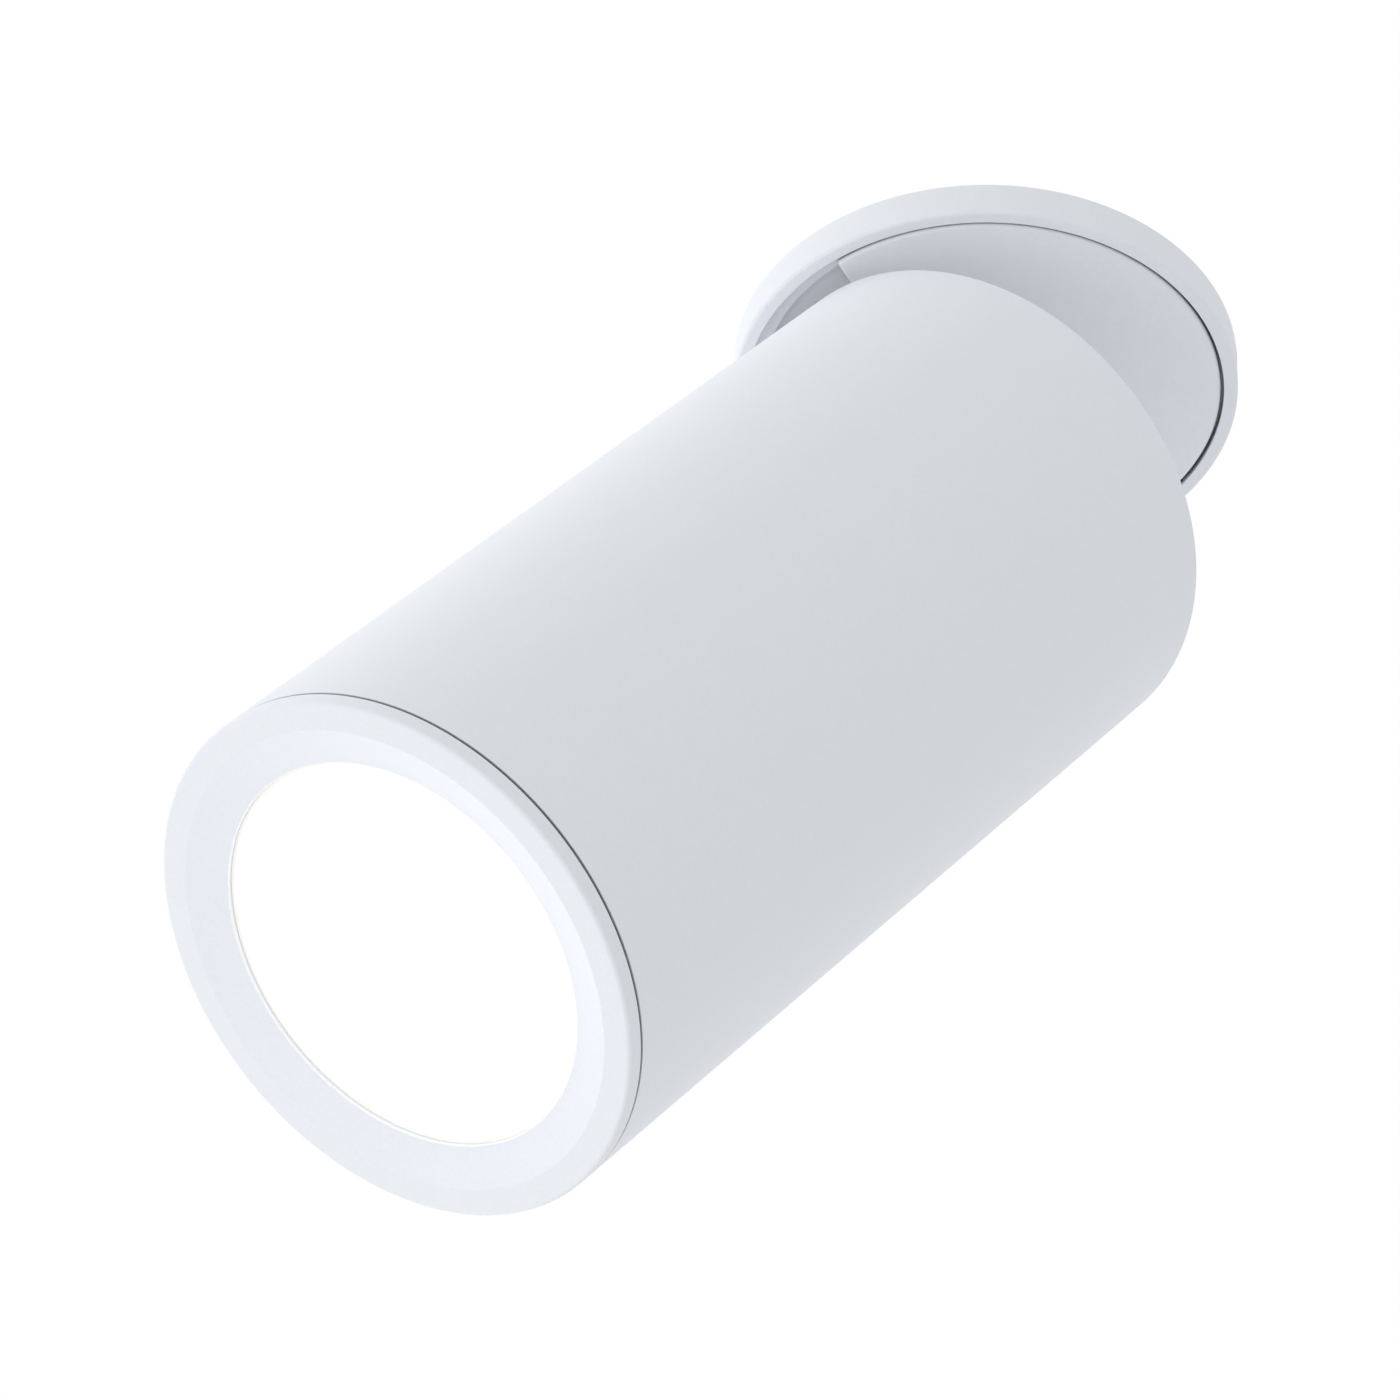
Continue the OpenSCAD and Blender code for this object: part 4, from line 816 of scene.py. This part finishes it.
def makeBezel(plan):
    # The slope's depth is 1 - k to a power, with k from the opening to the flat rim
    outer, front, back, spigot = plan["outerR"], plan["front"], plan["back"], plan["spigotLen"] - plan["back"]
    opening, bend, slope = plan["openingR"], plan["lipRound"], plan["coveDepth"] - plan["front"]
    k = np.linspace(0, 1, plan["covePoints"]) ** plan["coveSpread"]
    span = outer - plan["flatWidth"] - opening - bend
    cove = np.stack([opening + bend + span * k, plan["coveDepth"] * (1 - k ** plan["coveBend"]) - front], 1)
    outline = np.concatenate([
        [(opening, slope + plan["lip"])], quarter(opening, slope, bend, 180, 270, 7), cove[1:],
        quarter(outer, -front, plan["round"], -90, 0, 12), quarter(outer, -back, plan["backRound"], 0, 90, 7),
        [(plan["spigotR"], -back), (plan["spigotR"], spigot), (plan["spigotInR"], spigot),
         (plan["spigotInR"], slope + plan["lip"])]])
    bezel = turnedPiece("lampBezel", outline, plan["segments"], inHead, hold=0.06)
    settle(bezel, "head", "white_powder_coat", "front_bezel")


makeBezel(bezelPlan)
print("tube and bezel made")

# ---- screws: a head with a hexagon socket and a threaded shank, in one closed surface

screwPlan = {
    "segments": 36, "sharp": 40.0, "tip": 0.35,
    "threadDepth": 0.16, "threadPitch": 0.5, "threadFade": (0.5, 0.8),
    # Rings of a pan head as shares of its radius and height, and of a flat one as steps from its rim
    "pan": ((0.55, 1.0), (0.8, 0.88), (0.95, 0.66), (1.0, 0.4)), "panEdge": 0.06,
    "flat": ((-0.12, 0.0), (-0.03, -0.03), (0.0, -0.1)),
    "capScrew": {"r": 1.5, "headR": 2.9, "socket": 0.93, "socketDepth": 1.12},
    "armScrew": {"r": 1.0, "headR": 1.9, "socket": 0.62, "socketDepth": 0.72},
    "footScrew": {"r": 1.5, "headR": 2.4, "headH": 1.6, "socket": 1.0, "socketDepth": 0.85},
    "caseScrew": {"r": 1.2, "headR": 2.2, "headH": 1.6, "socket": 0.9, "socketDepth": 0.85},
    "boardScrew": {"r": 1.25, "headR": 2.2, "headH": 1.6, "socket": 0.9, "socketDepth": 0.85},
    "terminalScrew": {"r": 1.1, "headR": 1.65, "headH": 1.12, "socket": 0.7, "socketDepth": 0.6},
    "earthScrew": {"r": 1.9, "headR": 3.61, "headH": 2.4, "socket": 1.5, "socketDepth": 1.3},
}


def screwPoints(kind, length, plan):
    # Rings down the axis; the socket's rings follow the hexagon a / cos(u mod 60 - 30), the head's and
    # the shank's are circles, and the thread lets the shank's radius fall by a triangle wave of
    # height / pitch - u / 360, which fades out at both ends
    size = plan[kind]
    r, headR, socket, top = size["r"], size["headR"], size["socket"], size.get("headH", 0.0)
    floor, edge = top - size["socketDepth"], plan["panEdge"]
    turn = np.arange(plan["segments"])[:, None] / plan["segments"]
    hexagon = math.cos(math.pi / 6) / np.cos((turn * 2 * np.pi) % (np.pi / 3) - np.pi / 6)
    if top:
        head = [(headR * a, top * b) for a, b in plan["pan"]]
        head += [(headR, edge), (headR - edge, 0.0), (r + 0.1, 0.0)]
    else:
        head = [(headR + a, b) for a, b in plan["flat"]] + [(r + 0.05, r - headR + 0.05)]
    inside = np.array([(0.0, floor), (socket * 0.55, floor), (socket, floor + 0.02), (socket, floor + 0.12),
                       (socket, top - 0.1), (socket + 0.07, top - 0.01)])
    outside = np.array([(socket + 0.16, top)] + head)
    shankTop = head[-1][1] - 0.05
    heights = np.arange(shankTop - 0.1, plan["tip"] - length, -plan["threadPitch"] / 5)
    phase = (heights / plan["threadPitch"] - turn) % 1.0
    fadeTop, fadeTip = plan["threadFade"]
    fade = np.clip(np.minimum((shankTop - heights) / fadeTop, (heights + length) / fadeTip), 0, 1)
    thread = r - plan["threadDepth"] * fade * np.abs(2 * phase - 1)
    tip = np.array([(r - 0.25, 0.05 - length), (r * 0.4, -length), (0.0, -length)])
    radius = np.concatenate([inside[:, 0] * hexagon, outside[:, 0] + 0 * turn, thread, tip[:, 0] + 0 * turn], 1)
    height = np.concatenate([inside[:, 1], outside[:, 1], heights, tip[:, 1]]) + 0 * turn
    angle = turn * 2 * np.pi
    return np.stack([radius * np.cos(angle), radius * np.sin(angle), height], -1)


def makeScrews(name, kind, length, places, body, slot, node):
    # The same screw at each of its places, joined into one piece
    grid = screwPoints(kind, length, screwPlan)
    screws = [polePiece(f"{name}{i}", grid, matrix, slotFinish[slot], screwPlan["sharp"])
              for i, matrix in enumerate(places)]
    settle(joinPieces(name, screws), body, slot, node)


capPlan = {
    "top": -0.5, "low": -3.5, "radius": 38.5, "edge": 0.45, "lowEdge": 0.1, "slotX": (-36.2, -20.8),
    "slotHalf": 6.2, "slotRound": 0.7, "cableR": 5.0, "screwR": 1.6, "screwHeadR": 3.0, "screwDeep": 4.0,
    "sinkSpread": 0.04, "bracketX": (-27.0, -20.0), "bracketY": (-12.4, 12.4), "earthR": 2.0,
    "earthY": -22.0, "terminalR": 1.2, "terminalX": 16.0, "terminalY": (-4.5, 4.5),
}
# The frames in which the screws stand
screwsAt = {
    "arm": armScrewsAt,
    "cap": onRing(tubePlan["postRing"], tubePlan["posts"], capPlan["top"]),
    "bracket": [moved(inHead, x, y, capPlan["top"]) for x in capPlan["bracketX"] for y in capPlan["bracketY"]],
    "terminal": [moved(inHead, capPlan["terminalX"], y, -6.0) @ flip for y in capPlan["terminalY"]],
    "earth": [moved(inHead, 0.0, capPlan["earthY"], capPlan["low"]) @ flip],
    "board": [aim @ flip for aim in onRing(23.0, (30, 150, 270), -132.5)],
    "feet": [moved(inHead, 8.54, y, -101.9) for y in (-5.0, 5.0)],
    "case": [turnedAbout(moved(inHead, 17.0, y, z), "Y", 90) for y in (-14.0, 14.0) for z in (-93.7, -43.7)],
}
screwSets = (
    # name, kind, length, places, body, slot and CAD node
    ("armScrewSet", "armScrew", 2.8, "arm", "swivel", "zinc_steel", "arm_screws"),
    ("capScrewSet", "capScrew", 9.0, "cap", "head", "zinc_steel", "cap_screws"),
    ("bracketScrewSet", "capScrew", 5.2, "bracket", "head", "zinc_steel", "bracket_screws"),
    ("terminalScrewSet", "terminalScrew", 5.0, "terminal", "head", "zinc_steel", "terminal_screws"),
    ("earthScrewPiece", "earthScrew", 2.5, "earth", "head", "brass", "earth_screw"),
    ("boardScrewSet", "boardScrew", 5.1, "board", "head", "zinc_steel", "board_screws"),
    ("feetScrewSet", "footScrew", 7.5, "feet", "head", "zinc_steel", "bracket_feet_screws"),
    ("caseScrewSet", "caseScrew", 3.1, "case", "head", "zinc_steel", "case_screws"),
)
for name, kind, length, places, *rest in screwSets:
    makeScrews(name, kind, length, screwsAt[places], *rest)
print("screws made")

# ---- back cap with the arm's slot, the cable hole and the countersinks


def makeBackCap(plan):
    # A plate with a rounded rear edge, cut through by the arm's slot and the cable's and screws' holes
    top, low, radius, lowEdge = plan["top"], plan["low"], plan["radius"], plan["lowEdge"]
    under, over, half = low - past, top + past, plan["slotHalf"]
    outline = np.concatenate([[(0, low), (radius - lowEdge, low), (radius, low + lowEdge)],
                              quarter(radius, top, plan["edge"], 0, 90, 9), [(0, top)]])
    cap = solidTurned("backCap", outline, 240, inHead)
    slot = roundBox((plan["slotX"][0], -half), (plan["slotX"][1], half), plan["slotRound"], 8)
    cutters = [platePiece("tool", slot, under, over, inHead, (0.02, 0.02)),
               solidRod(plan["cableR"], under, over, 72, inHead),
               solidRod(plan["earthR"], under, over, 40, moved(inHead, 0, plan["earthY"], 0))]
    cutters += [solidRod(plan["terminalR"], under, over, 32, moved(inHead, plan["terminalX"], y, 0))
                for y in plan["terminalY"]]
    cutters += [solidSink(plan["screwR"], plan["screwHeadR"], plan["screwDeep"], plan["sinkSpread"], aim)
                for aim in screwsAt["cap"] + screwsAt["bracket"]]
    carve(cap, cutters)
    settle(cap, "head", "white_powder_coat", "back_cap")


makeBackCap(capPlan)

# ---- turned pieces, each from the outline of its section as radius, height and corner radius

turnedPlans = (
    # name, place, finish, body, slot and CAD node, then the outline
    ("swivelBush", upright, "turnedSteel", "swivel", "zinc_steel", "swivel_bush", [
        (3.6, -0.2, 0.3), (5, -0.2, 0.12), (5, -0.4, 0), (4.65, -0.4, 0.05), (4.65, -1.4, 0.05),
        (5, -1.4, 0.05), (5, -6.3, 0.1), (8, -6.3, 0.1), (8, -7.3, 0.45), (3.6, -7.3, 0.6)]),
    ("cableGrommet", inHead, "grommetRubber", "head", "grey_rubber", "cable_grommet", [
        (3, 0.5, 0.5), (6.6, 0.5, 0.8), (6.6, -0.5, 0.15), (5, -0.5, 0.1), (5, -3.5, 0.1), (6.6, -3.5, 0.15),
        (6.6, -4.7, 0.9), (3, -4.7, 0.5)]),
    ("frictionWasher", upright, "slidePlastic", "canopy", "slide_plastic", "friction_washer", [
        (5.2, -3, 0.1), (5.2, -3.4, 0.1), (9, -3.4, 0.1), (9, -3, 0.1)]),
    ("bezelSeal", inHead, "sealRubber", "head", "grey_rubber", "bezel_seal", [
        (38.25, -149.2, 0.05), (38.25, -149.7, 0.05), (39.1, -149.7, 0.2), (39.1, -149.2, 0.2)]),
    ("diffuserGasket", inHead, "milkySilicone", "head", "clear_silicone", "diffuser_gasket", [
        (31, -146.6, 0.3), (31, -147.6, 0.3), (36.2, -147.6, 0.3), (36.2, -146.6, 0.3)]),
    ("reflectorCone", inHead, "reflectorSatin", "head", "reflector_white", "reflector", [
        (27.4, -132.9, 0.3), (30.6, -146.6, 0.6), (36.2, -146.6, 0.2), (36.2, -145.4, 0.2),
        (31.92, -145.4, 0.6), (28.72, -131.6, 0.6), (37.8, -131.6, 0.2), (37.8, -130.4, 0.2),
        (27.4, -130.4, 0.2)]),
)
# Pieces wider than this, in millimetres from the axis, take more segments
wideFrom, wideSegments, smallSegments = 20, 300, 128
for name, at, finish, body, slot, node, corners in turnedPlans:
    outline = roundCorners(corners, 7)
    segments = wideSegments if outline[:, 0].max() > wideFrom else smallSegments
    settle(turnedPiece(name, outline, segments, at, finish), body, slot, node)
print("cap and turned pieces made")

# ---- diffuser: a round plate with softened edges

opalPlan = {"radius": 36.2, "front": -149.6, "back": -147.6, "edge": 0.4, "openR": 29.8, "rings": 24}


def makeDiffuser(plan):
    # The face runs out in even steps to the opening, then on to the rounded edge
    radius, front, back, edge = plan["radius"], plan["front"], plan["back"], plan["edge"]
    face = np.stack([np.linspace(0, plan["openR"], plan["rings"]), np.full(plan["rings"], front)], 1)
    outline = np.concatenate([
        face, quarter(radius, front, edge, -90, 0, 7), quarter(radius, back, edge, 0, 90, 7), [(0, back)]])
    settle(solidTurned("opalDiffuser", outline, 240, inHead, "opalGlow"), "head", "opal_diffuser", "diffuser")


makeDiffuser(opalPlan)

# ---- wavy spring washer on the bush

springPlan = {
    "inner": 5.2, "outer": 8.4, "middle": -1.575, "half": 0.1, "edge": 0.05, "wave": 0.07, "waves": 3,
    "segments": 144,
}


def makeSpringWasher(plan):
    # A flat ring whose height follows the sine of three times the angle round the bush
    low, high = plan["middle"] - plan["half"], plan["middle"] + plan["half"]
    outline = roundBox((plan["inner"], low), (plan["outer"], high), plan["edge"], 4)
    grid = turnedGrid(holdCorners(outline, cornerHold), plan["segments"])
    grid[..., 2] += plan["wave"] * np.sin(plan["waves"] * np.arctan2(grid[..., 1], grid[..., 0]))
    settle(ringPiece("springWasher", grid, upright, "springSteel"), "swivel", "spring_steel", "spring_washer")


makeSpringWasher(springPlan)

# ---- hinge pin, nut and washers in the head

hingePlan = {
    "pinR": 2.0, "pinHalf": 8.3, "pinChamfer": 0.15, "headR": 3.3, "headH": 1.6, "headRound": 0.9,
    "headChamfer": 0.1, "play": 0.05, "threadR": 1.5, "threadEnd": 11.3, "threadChamfer": 0.25,
    "socketR": 1.25, "socketDeep": 0.9, "nutFlat": 5.5, "nutH": 2.4, "nutRound": 0.5, "nutStep": 0.6,
    "nutEdges": (0.25, 0.25), "washerIn": 2.05, "washerAt": 5.8, "washerHalf": 0.25, "washerRound": 0.1,
}


def makeHinge(plan):
    # The pin and the washers are outlines carried round its axis, the nut a hexagon carried along it
    centre = moved(inHead, -place["pinX"], 0, -place["pinDepth"])
    along = turnedAbout(centre, "X", 90)
    r, half, chamfer = plan["pinR"], plan["pinHalf"], plan["pinChamfer"]
    headR, rim = plan["headR"], plan["headChamfer"]
    thread, end, point = plan["threadR"], -plan["threadEnd"], plan["threadChamfer"]
    base = half + plan["play"]
    top = base + plan["headH"]
    outline = np.concatenate([
        [(0, end), (thread - point, end), (thread, end + point), (thread, -half), (r - chamfer, -half),
         (r, chamfer - half), (r, base), (headR - rim, base), (headR, base + rim)],
        quarter(headR, top, plan["headRound"], 0, 90, 9), [(0, top)]])
    pin = solidTurned("hingePin", outline, 72, along, "zincPlate")
    carve(pin, [solidRod(plan["socketR"], top - plan["socketDeep"], top + past, 6, along)])
    settle(pin, "head", "zinc_steel", "hinge_pin")

    corners = arcPoints((0, 0), plan["nutFlat"] / math.sqrt(3), 0, 300, 6)
    hexagon = roundCorners([(*corner, plan["nutRound"]) for corner in corners], 5)
    seat = turnedAbout(turnedAbout(moved(centre, 0, base, 0), "Y", 30), "X", -90)
    outline = splitLong(hexagon, plan["nutStep"])
    nut = platePiece("hingeNut", outline, 0, plan["nutH"], seat, plan["nutEdges"], "zincPlate")
    carve(nut, [solidRod(thread + plan["play"], -past, plan["nutH"] + past, 40, seat)])
    settle(nut, "head", "zinc_steel", "hinge_nut")

    ring = roundBox((plan["washerIn"], -plan["washerHalf"]), (headR, plan["washerHalf"]), plan["washerRound"])
    seats = [turnedAbout(moved(centre, 0, side * plan["washerAt"], 0), "X", 90) for side in (-1, 1)]
    washers = [turnedPiece("hingeWasher", ring, 96, seat, "slidePlastic") for seat in seats]
    settle(joinPieces("hingeWasherPair", washers), "head", "slide_plastic", "hinge_washers")


makeHinge(hingePlan)
print("hinge made")

# ---- driver parts: the transformer's core and windings, and the cans

driverPlan = {
    "boardX": 9.3, "coilZ": -73.66, "coreHalf": 9.0, "coreRound": 1.0, "coreStep": 3.0, "coreH": 15.0,
    "yokeT": 4.0, "yokeEdges": (0.3, 0.3), "legHalf": 3.6, "legT": 3.0, "legRound": 0.5,
    "legEdges": (0.02, 0.02), "legIn": 0.05,
    "coilR": 5.8, "coilIn": 0.02, "turns": 12, "wire": 0.14,
    "cans": ((11.0, -49.7, 5.0, 15.0), (-11.0, -49.7, 5.0, 15.0), (0.0, -89.7, 4.0, 10.0)),
    "canFoot": 0.4, "canLip": 1.0, "canEdge": 0.15, "grooveAt": 2.2, "grooveR": 0.3, "canRound": 0.6,
}


def makeDriverParts(plan):
    # The winding's radius is coilR - wire * (1 - |sin(turns * 180 * k)|), with k from yoke to yoke; the
    # cans carry an outline with a round groove near the top about their axes
    centre = turnedAbout(moved(inHead, plan["boardX"], 0, plan["coilZ"]), "Y", 90)
    half, height, yoke = plan["coreHalf"], plan["coreH"], plan["yokeT"]
    square = splitLong(roundBox((-half, -half), (half, half), plan["coreRound"], 8), plan["coreStep"])
    parts = [platePiece("yoke", square, low, low + yoke, centre, plan["yokeEdges"], "ferrite")
             for low in (-height, -yoke)]
    leg = roundBox((-plan["legHalf"], 0), (plan["legHalf"], plan["legT"]), plan["legRound"])
    for shift in (-half, half - plan["legT"]):
        parts.append(platePiece("leg", leg + (0, shift), yoke - height - plan["legIn"], plan["legIn"] - yoke,
                                centre, plan["legEdges"], "ferrite"))
    along = np.linspace(yoke - height - plan["coilIn"], plan["coilIn"] - yoke, plan["turns"] * 8)
    phase = np.pi * plan["turns"] * (along - along[0]) / (along[-1] - along[0])
    winding = plan["coilR"] + plan["wire"] * (np.abs(np.sin(phase)) - 1)
    coil = np.concatenate([[(0, along[0])], np.stack([winding, along], 1), [(0, along[-1])]])
    parts.append(solidTurned("coil", coil, 96, centre, "tapedCoil", sharp=80.0))
    settle(joinPieces("transformerCore", parts), "head", "copper_coil", "transformer")

    cans = []
    foot, lip, edge = plan["canFoot"], plan["canLip"], plan["canEdge"]
    for y, z, r, tall in plan["cans"]:
        outline = np.concatenate([
            [(0, foot), (r - lip, foot), (r - lip, 0), (r - edge, 0), (r, edge)],
            arcPoints((r, tall - plan["grooveAt"]), plan["grooveR"], 270, 90, 9),
            quarter(r, tall, plan["canRound"], 0, 90, 8),
            [(r - lip, tall), (r - lip - 0.1, tall - edge), (0, tall - edge)]])
        seat = turnedAbout(moved(inHead, plan["boardX"], y, z), "Y", -90)
        cans.append(solidTurned("can", outline, 72, seat, "canSleeve"))
    settle(joinPieces("capacitorCans", cans), "head", "capacitor_sleeve", "capacitors")


makeDriverParts(driverPlan)
print("driver parts made")

# ---- bent, milled and moulded pieces whose CAD shape only wants its edges rounded

softPlans = (
    # name, CAD node, width of the rounding, body and slot
    ("hingeArm", "hinge_arm", 0.35, "swivel", "white_powder_coat"),
    ("ceilingPlate", "ceiling_plate", 0.12, "canopy", "zinc_steel"),
    ("grubScrews", "canopy_screws", 0.08, "canopy", "zinc_steel"),
    ("stopPin", "stop_pin", 0.12, "canopy", "zinc_steel"),
    ("retainingRing", "retaining_ring", 0.08, "swivel", "spring_steel"),
    ("hingeBracket", "hinge_bracket", 0.2, "head", "zinc_steel"),
    ("terminalBlock", "terminal_block", 0.25, "head", "terminal_plastic"),
    ("driverBracket", "driver_bracket", 0.2, "head", "zinc_steel"),
    ("driverCase", "driver_case", 0.4, "head", "white_plastic"),
    ("driverLid", "driver_lid", 0.3, "head", "white_plastic"),
    ("heatSink", "heat_sink", 0.25, "head", "bare_aluminium"),
    ("lightChips", "light_chips", 0.1, "head", "chip_yellow"),
)
for plan in softPlans:
    softCopy(*plan)
print("rounded pieces made")
